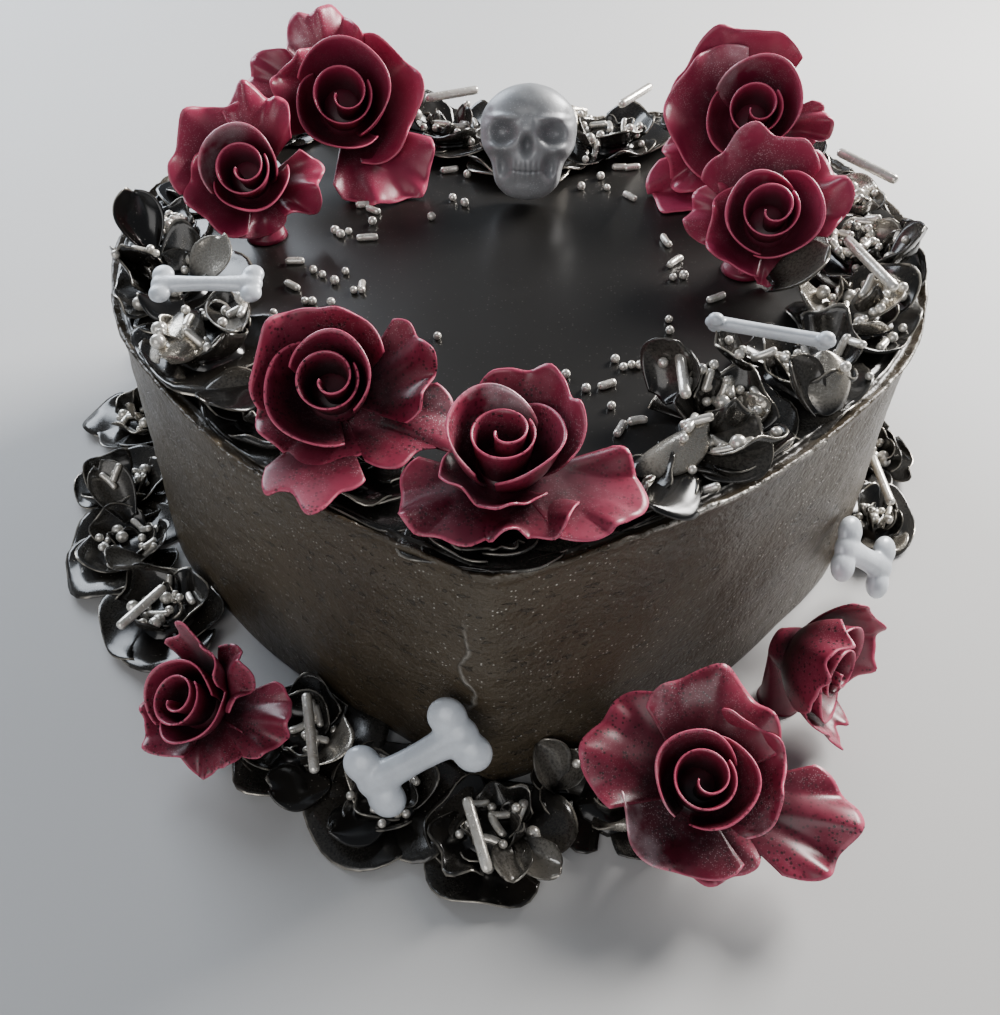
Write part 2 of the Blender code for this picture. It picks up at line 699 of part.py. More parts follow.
def skull_point(x, y, z):
    """A point of the skull from a direction: narrow jaw, hollows on the face, flat back."""
    fall = min(1.0, max(0.0, (-z - 0.02) / 0.62))
    narrow = 1.0 - 0.30 * fall * fall * (3.0 - 2.0 * fall)
    relief = 0.0
    if y < 0:
        for side, height, width, depth in SKULL_MARKS:
            for mirror in ((1, -1) if side else (1,)):
                far = ((x - mirror * side) ** 2 + (z - height) ** 2) / width**2
                relief += depth * math.exp(-far)
    flat = min(y, 0.30)
    return (
        SKULL_SIZE[0] * x * narrow,
        SKULL_SIZE[1] * (flat * (1.0 + relief) if y < 0 else flat),
        SKULL_SIZE[2] * z,
    )


# Bones: middle, the way along and the way across, length, and breadth of the knobbed ends
BONES = {
    "bone_rim_left": ((-70.6, -31.5, 98.5), (1.0, 0.08, 0.0), (-0.07, 0.95, 0.3), 27.0, 11.0),
    "bone_rim_right": ((60.8, -41.5, 99.0), (0.975, -0.22, 0.0), (0.1, 0.7, -0.7), 28.0, 11.0),
    "bone_foot_front": ((-13.9, -111.2, 24.0), (0.787, 0.204, 0.582), (-0.58, 0.49, 0.65), 35.5, 20.0),
    "bone_foot_right": ((104.0, -35.7, 19.0), (0.67, 0.32, -0.67), (0.08, 0.73, 0.68), 31.5, 19.0),
}
# Sizes of a bone as shares of its breadth
KNOB_SHARE = 0.205
SPREAD_SHARE = 0.295
SHAFT_SHARE = 0.165
THICK_SHARE = 0.30


def bone_outline(length, breadth):
    """Outline of a bone with two knobs at each end."""
    knob = KNOB_SHARE * breadth
    reach = length / 2 - knob
    upper = [(reach + 0.45 * knob, 0.0)]
    for k in range(1, 5):
        turn = math.radians(-50 + k * 60)
        upper.append((reach + knob * math.cos(turn), SPREAD_SHARE * breadth + knob * math.sin(turn)))
    upper.append((reach - 1.9 * knob, SHAFT_SHARE * breadth))
    upper += [(-x, y) for x, y in reversed(upper)]
    return upper + [(x, -y) for x, y in reversed(upper[1:-1])]


def build_bone(name, spec, material):
    """A moulded bone, rounded toward both faces."""
    middle, along, across, length, breadth = spec
    ahead = Vector(along).normalized()
    side = Vector(across)
    side = (side - ahead * side.dot(ahead)).normalized()
    face = ahead.cross(side)
    outline = bone_outline(length, breadth)
    count = len(outline)
    rows = ((0.74, -0.5), (1.0, 0.0), (0.74, 0.5))
    points = []
    for share, level in rows:
        for x, y in outline:
            shorter = x * (1.0 - (1.0 - share) * 0.22)
            lift = level * THICK_SHARE * breadth
            points.append(Vector(middle) + ahead * shorter + side * (y * share) + face * lift)
    faces = [tuple(range(count)), tuple(range(2 * count, 3 * count))]
    for row in range(2):
        for k in range(count):
            low = row * count
            faces.append((low + k, low + (k + 1) % count, low + count + (k + 1) % count, low + count + k))
    return new_object(name, points, faces, material)


def main():
    """Build every piece of the cake."""
    clear_scene()
    icing = paste_material("black_icing", (0.012, 0.010, 0.009), 0.32, 0.0)
    piping = paste_material("black_piping", (0.008, 0.008, 0.008), 0.22, 0.0)
    rose_paste = paste_material("rose_paste", (0.20, 0.018, 0.045), 0.45, 0.0)
    bone_paste = paste_material("bone_paste", (0.48, 0.50, 0.53), 0.35, 0.35)
    skull_paste = paste_material("skull_paste", (0.25, 0.26, 0.28), 0.45, 0.45)
    build_cake(icing)
    build_rim_flowers(piping)
    build_foot_flowers(piping)
    for name, spec in ROSES.items():
        build_rose(name, spec, rose_paste)
    build_skull(skull_paste)
    for name, spec in BONES.items():
        build_bone(name, spec, bone_paste)


main()
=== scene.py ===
"""Looks of a heart-shaped cake under black icing, with piped flowers, paste roses, a skull and bones.

Sizes are millimetres until Shape.make() turns them into metres. The frame's origin is the middle of the
cake's base, +Z is up and the heart's point looks along -Y.
"""

import logging
import math
import random
from dataclasses import dataclass, field
from enum import Enum
from typing import Any

import bpy
import bmesh
import numpy as np
from mathutils import Matrix, Vector
from mathutils.bvhtree import BVHTree

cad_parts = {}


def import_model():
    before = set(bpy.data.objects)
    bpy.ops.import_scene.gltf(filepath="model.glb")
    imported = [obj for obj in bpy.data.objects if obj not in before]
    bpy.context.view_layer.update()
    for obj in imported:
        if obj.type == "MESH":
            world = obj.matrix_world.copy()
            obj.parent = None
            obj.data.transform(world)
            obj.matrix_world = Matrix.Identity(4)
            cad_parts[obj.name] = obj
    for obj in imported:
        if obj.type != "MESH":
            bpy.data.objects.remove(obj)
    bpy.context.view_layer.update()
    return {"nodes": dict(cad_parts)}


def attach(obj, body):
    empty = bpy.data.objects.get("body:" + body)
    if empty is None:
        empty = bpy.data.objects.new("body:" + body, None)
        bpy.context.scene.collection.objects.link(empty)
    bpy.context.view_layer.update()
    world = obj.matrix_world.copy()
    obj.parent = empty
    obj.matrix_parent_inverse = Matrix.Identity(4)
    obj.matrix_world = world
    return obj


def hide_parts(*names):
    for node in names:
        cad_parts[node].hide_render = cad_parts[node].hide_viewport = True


LOG = logging.getLogger("cake")
# Metres in a millimetre
MM = 0.001
# Height of the flat top of the icing
CAKE_TOP = 80.0
# Space left under what lies on the cake
GAP = 0.35
# Least length that is divided by
TINY = 1e-9
# Thickness of the rim of a piped sheet, as a share of the rest
PIPED_RIM = 0.45


class Slot(Enum):
    """Material slots of the record."""

    ICING = "black_icing"
    PIPING = "black_piping"
    ROSE = "rose_paste"
    BONE = "bone_paste"
    SKULL = "skull_paste"


def smooth(low: float, high: float, value: np.ndarray) -> np.ndarray:
    """A soft step from 0 at low to 1 at high."""
    share = np.clip((value - low) / (high - low), 0.0, 1.0)
    return share * share * (3.0 - 2.0 * share)


def back_along(spot: tuple, angle: float, length: float) -> tuple[float, float]:
    """The place at a length from a spot, against an angle."""
    return spot[0] - length * math.cos(angle), spot[1] - length * math.sin(angle)


def bow(t: np.ndarray, start: float, middle: float, end: float) -> np.ndarray:
    """A curve from start to end, drawn toward middle on the way.

    Args:
        t: Share of the way.
        start: Where it starts.
        middle: What it is drawn toward.
        end: Where it ends.

    Returns:
        The curve's value at each share.
    """
    return (1 - t) ** 2 * start + 2 * t * (1 - t) * middle + t * t * end


def ripple(x: np.ndarray, y: np.ndarray, seed: int, size: float) -> np.ndarray:
    """Smooth random relief, about -1 to 1, of bent waves that run each its own way.

    Args:
        x: First coordinate, in millimetres.
        y: Second coordinate, in millimetres.
        seed: Seed of the waves.
        size: Length of the longest wave, in millimetres.

    Returns:
        The relief at each point.
    """
    waves, shorter, weaker, bent, gain = 9, 0.45, 0.35, 0.9, 1.8
    draw = np.random.default_rng(seed)
    total = np.zeros(np.broadcast(x, y).shape)
    weight = 0.0
    for wave in range(waves):
        length = size / (1.0 + shorter * wave)
        strength = 1.0 / (1.0 + weaker * wave)
        way = draw.uniform(0, 2 * math.pi)
        phase = draw.uniform(0, 2 * math.pi)
        along = (x * math.cos(way) + y * math.sin(way)) / length
        across = (x * math.sin(way) - y * math.cos(way)) / length
        bend = bent * np.sin(2.1 * across + 1.7 * phase)
        total += strength * np.sin(2 * math.pi * along + phase + bend)
        weight += strength
    return total / weight * gain


@dataclass
class Shape:
    """Points in millimetres, faces, and three shares a point that the finishes read as a colour."""

    points: np.ndarray
    faces: list
    tint: np.ndarray

    @staticmethod
    def join(shapes: list["Shape"]) -> "Shape":
        """All the shapes as one.

        Args:
            shapes: The shapes to join.

        Returns:
            The joined shape.
        """
        faces: list = []
        start = 0
        for shape in shapes:
            faces += [tuple(corner + start for corner in face) for face in shape.faces]
            start += len(shape.points)
        return Shape(
            np.vstack([shape.points for shape in shapes]),
            faces,
            np.vstack([shape.tint for shape in shapes]),
        )

    def make(self, name: str, material: bpy.types.Material, slot: Slot, nodes: list[str]) -> bpy.types.Object:
        """Make the shape one piece of the object.

        Args:
            name: Name of the piece.
            material: Its finish.
            slot: The record's slot of that finish; not used.
            nodes: The solids that it stands for.

        Returns:
            The new piece.
        """
        mesh = bpy.data.meshes.new(name)
        mesh.from_pydata((self.points * MM).tolist(), [], self.faces)
        colours = mesh.attributes.new("tint", "FLOAT_COLOR", "POINT")
        rgba = np.ones((len(self.points), 4), np.float32)
        rgba[:, :3] = self.tint
        colours.data.foreach_set("color", rgba.ravel())
        mesh.materials.append(material)
        mesh.shade_smooth()
        piece = bpy.data.objects.new(name, mesh)
        bpy.context.scene.collection.objects.link(piece)
        return declare(piece, nodes)


def declare(piece: bpy.types.Object, nodes: list[str]) -> bpy.types.Object:
    """Tie a piece to the frame.

    Args:
        piece: The piece.
        nodes: The solids that it stands for.

    Returns:
        The same piece.
    """
    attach(piece, "root")
    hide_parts(*nodes)
    LOG.info("%s: %d faces", piece.name, len(piece.data.polygons))
    return piece


def strip_faces(rows: int, columns: int, closed: bool, start: int = 0) -> list:
    """Quads between rows of points, closed round each row or open.

    Args:
        rows: Number of rows.
        columns: Points in a row.
        closed: Whether each row closes on itself.
        start: Number of the first point.

    Returns:
        The quads, each a tuple of point numbers.
    """
    faces = []
    for i in range(rows - 1):
        for j in range(columns if closed else columns - 1):
            k = (j + 1) % columns
            low, high = start + i * columns, start + (i + 1) * columns
            faces.append((low + j, low + k, high + k, high + j))
    return faces


def fan(tip: int, start: int, count: int, turned: bool = False) -> list:
    """Triangles between a tip and a ring of points.

    Args:
        tip: Number of the tip.
        start: Number of the ring's first point.
        count: Points in the ring.
        turned: Whether they face the other way.

    Returns:
        The triangles.
    """
    sides = [(start + k, start + (k + 1) % count) for k in range(count)]
    return [(tip, *reversed(side)) if turned else (tip, *side) for side in sides]


def capped_faces(rings: int, sides: int) -> list:
    """Faces of a stack of rings, closed below and above."""
    faces = strip_faces(rings, sides, True)
    return faces + [tuple(reversed(range(sides))), tuple(range((rings - 1) * sides, rings * sides))]


def thin_sheet(grid: np.ndarray, thickness: float, tint: np.ndarray, rim_share: float) -> Shape:
    """A thin closed sheet from a grid of points, thinner at its rim.

    Args:
        grid: Points, rows by columns by 3.
        thickness: Thickness away from the rim.
        tint: Shares of each point, rows by columns by 3.
        rim_share: Thickness of the rim as a share.

    Returns:
        The sheet.
    """
    rows, columns = grid.shape[:2]
    normal = np.cross(np.gradient(grid, axis=0), np.gradient(grid, axis=1))
    normal /= np.maximum(np.linalg.norm(normal, axis=2, keepdims=True), TINY)
    depth = np.ones((rows, columns))
    second_share = 0.86
    for inset, share in ((1, second_share), (0, rim_share)):
        border = np.ones((rows, columns), bool)
        border[inset + 1 : rows - inset - 1, inset + 1 : columns - inset - 1] = False
        depth[border & (depth > share)] = share
    half = normal * (depth * thickness / 2)[..., None]
    points = np.vstack(((grid + half).reshape(-1, 3), (grid - half).reshape(-1, 3)))
    size = rows * columns
    upper = strip_faces(rows, columns, False)
    faces = upper + [tuple(size + corner for corner in reversed(face)) for face in upper]
    rim = list(range(columns))
    rim += [i * columns + columns - 1 for i in range(1, rows)]
    rim += [(rows - 1) * columns + j for j in range(columns - 2, -1, -1)]
    rim += [i * columns for i in range(rows - 2, 0, -1)]
    for k, first in enumerate(rim):
        second = rim[(k + 1) % len(rim)]
        faces.append((second, first, size + first, size + second))
    shares = tint.reshape(-1, 3)
    return Shape(points, faces, np.vstack((shares, shares)))


class Board:
    """A short way to lay out the nodes of one material."""

    def __init__(self, name: str) -> None:
        """Start a material with its Principled shader.

        Args:
            name: The material's name.
        """
        self.material = bpy.data.materials.new(name)
        self.material.use_nodes = True
        self.tree = self.material.node_tree
        self.shader = self.tree.nodes["Principled BSDF"]
        self.place = self.add("ShaderNodeTexCoord").outputs["Object"]
        reader = self.add("ShaderNodeAttribute")
        reader.attribute_name = "tint"
        split = self.add("ShaderNodeSeparateColor")
        self.link(reader.outputs["Color"], split.inputs[0])
        self.lip, self.dust, self.shade = split.outputs[0], split.outputs[1], split.outputs[2]

    def add(self, kind: str) -> bpy.types.Node:
        """A new node of a kind."""
        return self.tree.nodes.new(kind)

    def link(self, source: Any, target: Any) -> None:
        """Feed a socket from another, or set it where the source is a plain value.

        Args:
            source: A socket, a number or a colour.
            target: The socket that takes it.
        """
        if isinstance(source, bpy.types.NodeSocket):
            self.tree.links.new(source, target)
        elif isinstance(source, tuple) and len(source) == 3:
            target.default_value = (*source, 1.0)
        else:
            target.default_value = source

    def stretched(self, scale: tuple[float, float, float]) -> Any:
        """The object's place, stretched along its axes.

        Args:
            scale: Stretch along X, Y and Z.

        Returns:
            The socket of the stretched place.
        """
        node = self.add("ShaderNodeMapping")
        self.link(self.place, node.inputs["Vector"])
        node.inputs["Scale"].default_value = scale
        return node.outputs[0]

    def noise(self, scale: float, detail: float = 3.0, rough: float = 0.55, place: Any = None) -> Any:
        """Soft noise, 0 to 1, with its scale counted per metre.

        Args:
            scale: Waves a metre.
            detail: Number of finer layers.
            rough: How strong the finer layers are.
            place: Socket of the place, where it isn't the object's own.

        Returns:
            The socket of the noise.
        """
        node = self.add("ShaderNodeTexNoise")
        self.link(place or self.place, node.inputs["Vector"])
        node.inputs["Scale"].default_value = scale
        node.inputs["Detail"].default_value = detail
        node.inputs["Roughness"].default_value = rough
        return node.outputs["Fac"]

    def grains(self, scale: float, radius: float, share: float) -> Any:
        """A mask of small round grains.

        Args:
            scale: Cells a metre.
            radius: Radius of a grain, in cells.
            share: Share of the cells that hold a grain.

        Returns:
            The socket of the mask, 1 on a grain.
        """
        node = self.add("ShaderNodeTexVoronoi")
        self.link(self.place, node.inputs["Vector"])
        node.inputs["Scale"].default_value = scale
        split = self.add("ShaderNodeSeparateColor")
        self.link(node.outputs["Color"], split.inputs[0])
        near = self.step(node.outputs["Distance"], radius, radius * 0.6)
        return self.times(near, self.step(split.outputs[0], 1.0 - share, 1.0 - share + 0.02))

    def step(self, value: Any, low: float, high: float, start: float = 0.0, end: float = 1.0) -> Any:
        """A value mapped from low..high to start..end and held there.

        Args:
            value: The value.
            low: Where the step starts.
            high: Where the step ends.
            start: What it gives at low.
            end: What it gives at high.

        Returns:
            The socket of the result.
        """
        node = self.add("ShaderNodeMapRange")
        self.link(value, node.inputs["Value"])
        for socket, number in (("From Min", low), ("From Max", high), ("To Min", start), ("To Max", end)):
            node.inputs[socket].default_value = number
        return node.outputs["Result"]

    def maths(self, operation: str, first: Any, second: Any) -> Any:
        """Two values put together, held within 0 and 1.

        Args:
            operation: The operation's name.
            first: The first value.
            second: The second value.

        Returns:
            The socket of the result.
        """
        node = self.add("ShaderNodeMath")
        node.operation = operation
        node.use_clamp = True
        self.link(first, node.inputs[0])
        self.link(second, node.inputs[1])
        return node.outputs[0]

    def times(self, first: Any, second: Any) -> Any:
        """The product of two values, held within 0 and 1."""
        return self.maths("MULTIPLY", first, second)

    def mix(self, share: Any, first: Any, second: Any) -> Any:
        """A colour between two others.

        Args:
            share: Share of the second.
            first: The colour at 0.
            second: The colour at 1.

        Returns:
            The socket of the colour.
        """
        node = self.add("ShaderNodeMix")
        node.data_type = "RGBA"
        self.link(share, node.inputs["Factor"])
        self.link(first, node.inputs[6])
        self.link(second, node.inputs[7])
        return node.outputs[2]

    def blend(self, share: Any, first: Any, second: Any) -> Any:
        """A number between two others.

        Args:
            share: Share of the second.
            first: The number at 0.
            second: The number at 1.

        Returns:
            The socket of the number.
        """
        node = self.add("ShaderNodeMix")
        self.link(share, node.inputs["Factor"])
        self.link(first, node.inputs[2])
        self.link(second, node.inputs[3])
        return node.outputs[0]

    def bump(self, height: Any, strength: float, distance: float, before: Any = None) -> Any:
        """A bump from a height, over another bump where one is given.

        Args:
            height: Socket of the height.
            strength: How strongly it shows.
            distance: The height's size, in millimetres.
            before: The bump under it.

        Returns:
            The socket of the bent surface direction.
        """
        node = self.add("ShaderNodeBump")
        node.inputs["Strength"].default_value = strength
        node.inputs["Distance"].default_value = distance * MM
        self.link(height, node.inputs["Height"])
        if before is not None:
            self.link(before, node.inputs["Normal"])
        return node.outputs[0]

    def finish(self, **sockets: Any) -> bpy.types.Material:
        """Feed the shader's sockets.

        Args:
            **sockets: What feeds each, by its name with _ for a space.

        Returns:
            The material.
        """
        for name, source in sockets.items():
            self.link(source, self.shader.inputs[name.replace("_", " ")])
        return self.material


@dataclass(frozen=True)
class Crease:
    """The thin upright ridge of icing near the cake's point, in millimetres."""

    place: float = 3.4
    wander: float = 12.0
    wander_scale: float = 70.0
    left: float = 0.8
    right: float = 0.9
    foot: tuple = (22.0, 34.0)
    head: tuple = (56.0, 66.0)
    front: tuple = (-20.0, -10.0)
    break_scale: float = 160.0
    height: float = 0.8

    def lay_out(self, b: Board) -> Any:
        """Lay out its nodes.

        Args:
            b: The board of the finish that it is part of.

        Returns:
            The socket of its height, 1 on the ridge.
        """
        split = b.add("ShaderNodeSeparateXYZ")
        b.link(b.place, split.inputs[0])
        x, y, z = split.outputs
        # Half a metre is added, because maths() holds what it gives within 0 and 1
        shift = 0.5
        bent = b.times(b.noise(self.wander_scale, 3.0), self.wander * MM)
        across = b.maths("ADD", b.maths("ADD", x, shift), bent)
        middle = shift + self.place * MM
        rise = b.step(across, middle - self.left * MM, middle)
        fall = b.step(across, middle, middle + self.right * MM, 1.0, 0.0)
        begin = b.step(z, self.foot[0] * MM, self.foot[1] * MM)
        end = b.step(z, self.head[0] * MM, self.head[1] * MM, 1.0, 0.0)
        front = b.step(y, self.front[0] * MM, self.front[1] * MM, 1.0, 0.0)
        broken = b.step(b.noise(self.break_scale, 2.0), 0.36, 0.56, 0.30, 1.0)
        ridge = b.times(rise, fall)
        tall = b.times(begin, end)
        return b.times(b.times(ridge, tall), b.times(front, broken))


@dataclass(frozen=True)
class IcingFinish:
    """Satin brown-black buttercream on the side, with painted shade in its pits and a painted highlight on
    the crease, glossy black on the top, silver dust along the lip.

    In each finish a scale counts waves or grains a metre, and a height is in millimetres.
    """

    side: tuple = (0.0470, 0.0350, 0.0220)
    side_light: tuple = (0.082, 0.063, 0.0395)
    top: tuple = (0.0120, 0.0110, 0.0100)
    silver: tuple = (0.66, 0.63, 0.575)
    cloud_scale: float = 22.0
    streak_scale: float = 560.0
    pit_scale: float = 330.0
    pit_stretch: tuple = (0.8, 0.8, 1.5)
    pit_shade: float = 0.40
    # How far the painted shade darkens the pits
    swell_scale: float = 85.0
    sparkle_scale: float = 1100.0
    dust_scale: float = 800.0
    swell_height: float = 2.2
    streak_height: float = 0.80
    pit_depth: float = 0.8
    # How far the painted highlight on the crease goes toward silver
    crease_highlight: float = 0.45
    crease: Crease = Crease()

    def build(self) -> bpy.types.Material:
        """Lay out the finish.

        Returns:
            The material, whose tint is red on the lip and green on the top.
        """
        b = Board("black_icing_look")
        cloud = b.noise(self.cloud_scale, 3.0)
        streak = b.noise(self.streak_scale, 3.0, 0.66)
        pits = b.step(b.noise(self.pit_scale, 2.0, 0.55, b.stretched(self.pit_stretch)), 0.365, 0.325)
        side = b.mix(b.step(cloud, 0.35, 0.7), self.side, self.side_light)
        side = b.mix(b.step(streak, 0.58, 0.74, 0.0, 0.35), side, self.side_light)
        # Painted shade: the pits are darkened toward the top's black.
        side = b.mix(b.times(pits, self.pit_shade), side, self.top)
        ridge = self.crease.lay_out(b)
        # Painted highlight: the crease's ridge is lightened toward silver.
        side = b.mix(b.times(ridge, self.crease_highlight), side, self.silver)
        body = b.mix(b.dust, side, self.top)
        patchy = b.step(cloud, 0.40, 0.62, 0.25, 1.0)
        not_top = b.step(b.dust, 0.0, 1.0, 1.0, 0.10)
        sparkle = b.times(b.grains(self.sparkle_scale, 0.29, 0.18), patchy)
        sparkle = b.times(sparkle, not_top)
        dusted = b.step(b.noise(self.dust_scale, 2.0, 0.7), 0.38, 0.54)
        lip = b.times(b.step(b.lip, 0.42, 0.80), dusted)
        metal = b.maths("MAXIMUM", lip, sparkle)
        rough = b.blend(b.dust, b.step(cloud, 0.3, 0.7, 0.31, 0.44), 0.30)
        relief = b.bump(b.blend(b.dust, b.noise(self.swell_scale, 2.0, 0.5), 0.5), 0.60, self.swell_height)
        relief = b.bump(b.blend(b.dust, streak, 0.5), 0.85, self.streak_height, relief)
        flat = b.maths("SUBTRACT", 1.0, b.blend(b.dust, pits, 0.0))
        relief = b.bump(flat, 0.9, self.pit_depth, relief)
        relief = b.bump(ridge, 1.0, self.crease.height, relief)
        return b.finish(
            Base_Color=b.mix(metal, body, self.silver),
            Metallic=b.times(metal, 0.85),
            Roughness=rough,
            Normal=relief,
            Specular_IOR_Level=0.5,
        )


@dataclass(frozen=True)
class PipingFinish:
    """Glossy black piped icing with thin painted highlights of silver along the edges and frosted silver on
    some petals.
    """

    black: tuple = (0.0042, 0.0039, 0.0037)
    brown: tuple = (0.0150, 0.0122, 0.0100)
    silver: tuple = (0.62, 0.575, 0.50)
    cloud_scale: float = 60.0
    edge_scale: float = 130.0
    frost_scale: float = 1500.0
    sparkle_scale: float = 1700.0
    ridge_scale: float = 170.0
    ridge_height: float = 0.7

    def build(self) -> bpy.types.Material:
        """Lay out the finish.

        Returns:
            The material, whose tint runs to red at a petal's lip and is green where it is frosted.
        """
        b = Board("black_piping_look")
        cloud = b.noise(self.cloud_scale, 2.0)
        body = b.mix(b.step(cloud, 0.46, 0.74), self.black, self.brown)
        # Painted highlight: a thin silver line along each lip, broken in places.
        worn = b.step(b.noise(self.edge_scale, 2.0, 0.6), 0.44, 0.62, 0.06, 0.85)
        edge = b.times(b.step(b.lip, 0.962, 0.995), worn)
        frosted = b.step(b.noise(self.frost_scale, 2.0, 0.7), 0.36, 0.60, 0.35, 1.0)
        patch = b.times(b.dust, frosted)
        sparkle = b.times(b.grains(self.sparkle_scale, 0.28, 0.07), b.step(cloud, 0.46, 0.62))
        metal = b.maths("MAXIMUM", b.maths("MAXIMUM", edge, patch), sparkle)
        rough = b.step(cloud, 0.3, 0.7, 0.26, 0.13)
        return b.finish(
            Base_Color=b.mix(metal, body, self.silver),
            Metallic=metal,
            Roughness=b.maths("MAXIMUM", rough, b.times(metal, 0.30)),
            Normal=b.bump(b.noise(self.ridge_scale, 1.0, 0.5), 0.22, self.ridge_height),
            Specular_IOR_Level=0.62,
        )


@dataclass(frozen=True)
class RoseFinish:
    """Burgundy paste with painted shade toward the heart and on shaded petals, a painted highlight along the
    lips, black specks and a frosty shimmer.

    One share says how strongly the painted shade and the specks show.
    """

    name: str = "rose_paste_look"
    shade_tone: tuple = (0.0135, 0.0014, 0.0036)
    body: tuple = (0.205, 0.0155, 0.0410)
    # Pale tone for random clouds, and the painted highlight along the lips
    pale_and_highlight: tuple = (0.64, 0.108, 0.195)
    speck: tuple = (0.010, 0.004, 0.005)
    frost: tuple = (0.80, 0.68, 0.72)
    specks_and_shade: float = 1.0
    cloud_scale: float = 75.0
    veil_scale: float = 38.0
    cover_scale: float = 55.0
    speck_scale: float = 1100.0
    glitter_scale: float = 2300.0
    shine_scale: float = 110.0
    swell_scale: float = 160.0
    swell_height: float = 0.5

    def build(self) -> bpy.types.Material:
        """Lay out the finish.

        Returns:
            The material, whose tint runs to red at a lip, green in the shimmer and blue in the painted shade.
        """
        b = Board(self.name)
        # Painted shade: darker from the lip down toward the root.
        tone = b.mix(b.step(b.lip, 0.30, 0.93), self.shade_tone, self.body)
        cloud = b.step(b.noise(self.cloud_scale, 3.0), 0.38, 0.74, 0.0, 0.22)
        tone = b.mix(cloud, tone, self.pale_and_highlight)
        # Painted shade where the tint's blue is set, broken into patches.
        veil = b.step(b.noise(self.veil_scale, 2.0), 0.38, 0.60, 0.40, 1.0)
        painted_shade = b.times(b.shade, 0.40 + 0.50 * self.specks_and_shade)
        tone = b.mix(b.times(painted_shade, veil), tone, self.shade_tone)
        # Painted highlight: a thin pink line along each lip.
        tone = b.mix(b.step(b.lip, 0.955, 0.998, 0.0, 0.85), tone, self.pale_and_highlight)
        cover = b.step(b.noise(self.cover_scale, 2.0), 0.38, 0.58, 0.12, 1.0)
        specks = b.times(b.grains(self.speck_scale, 0.46, 0.55), cover)
        tone = b.mix(b.times(specks, 0.90 * self.specks_and_shade), tone, self.speck)
        glitter = b.grains(self.glitter_scale, 0.42, 0.60)
        shine = b.times(b.dust, b.step(b.noise(self.shine_scale, 3.0, 0.6), 0.40, 0.60))
        film = b.step(b.dust, 0.60, 1.10, 0.08, 0.62)
        frost = b.times(shine, b.maths("MAXIMUM", b.times(glitter, 0.95), film))
        return b.finish(
            Base_Color=b.mix(frost, tone, self.frost),
            Metallic=b.times(frost, 0.5),
            Roughness=b.step(cloud, 0.0, 0.22, 0.30, 0.42),
            Normal=b.bump(b.noise(self.swell_scale, 2.0, 0.5), 0.12, self.swell_height),
        )


@dataclass(frozen=True)
class MouldedFinish:
    """Moulded paste with a pearly sheen."""

    name: str
    colour: tuple
    pale: tuple
    # Colour of the painted shade in the hollows
    hollow_shade: tuple
    metallic: float
    rough: float
    pearl: tuple = (0.86, 0.88, 0.92)
    cloud_scale: float = 110.0
    shimmer_scale: float = 2300.0
    patch_scale: float = 80.0
    pore_scale: float = 420.0
    pore_height: float = 0.30
    grain_scale: float = 1600.0
    grain_height: float = 0.08
    worn_scale: float = 150.0
    worn: float = 0.06

    def build(self) -> bpy.types.Material:
        """Lay out the finish.

        Returns:
            The material, whose tint is blue where painted shade darkens a hollow.
        """
        b = Board(self.name)
        tone = b.mix(b.step(b.noise(self.cloud_scale, 4.0, 0.6), 0.35, 0.68), self.colour, self.pale)
        # Painted shade in the hollows.
        tone = b.mix(b.shade, tone, self.hollow_shade)
        patches = b.step(b.noise(self.patch_scale, 2.0), 0.42, 0.66, 0.0, 0.45)
        shimmer = b.times(b.grains(self.shimmer_scale, 0.40, 0.35), patches)
        pores = b.bump(b.noise(self.pore_scale, 4.0, 0.6), 0.28, self.pore_height)
        smoothest, roughest = self.rough - self.worn, self.rough + self.worn
        return b.finish(
            Base_Color=b.mix(shimmer, tone, self.pearl),
            Metallic=self.metallic,
            Roughness=b.step(b.noise(self.worn_scale, 3.0), 0.3, 0.7, smoothest, roughest),
            Normal=b.bump(b.noise(self.grain_scale, 2.0), 0.18, self.grain_height, pores),
        )


@dataclass(frozen=True)
class SilverFinish:
    """Warm, slightly dull silver of the sprinkles, with fine dents."""

    silver: tuple = (0.90, 0.87, 0.81)
    worn: tuple = (0.66, 0.62, 0.55)
    metallic: float = 0.55
    cloud_scale: float = 500.0
    rough_scale: float = 700.0
    dent_scale: float = 900.0
    dent_depth: float = 0.25

    def build(self) -> bpy.types.Material:
        """Lay out the finish.

        Returns:
            The material.
        """
        b = Board("silver_sprinkle_look")
        return b.finish(
            Base_Color=b.mix(b.step(b.noise(self.cloud_scale, 3.0), 0.35, 0.7), self.silver, self.worn),
            Metallic=self.metallic,
            Roughness=b.step(b.noise(self.rough_scale, 2.0), 0.3, 0.7, 0.16, 0.30),
            Normal=b.bump(b.noise(self.dent_scale, 2.0), 0.35, self.dent_depth),
        )


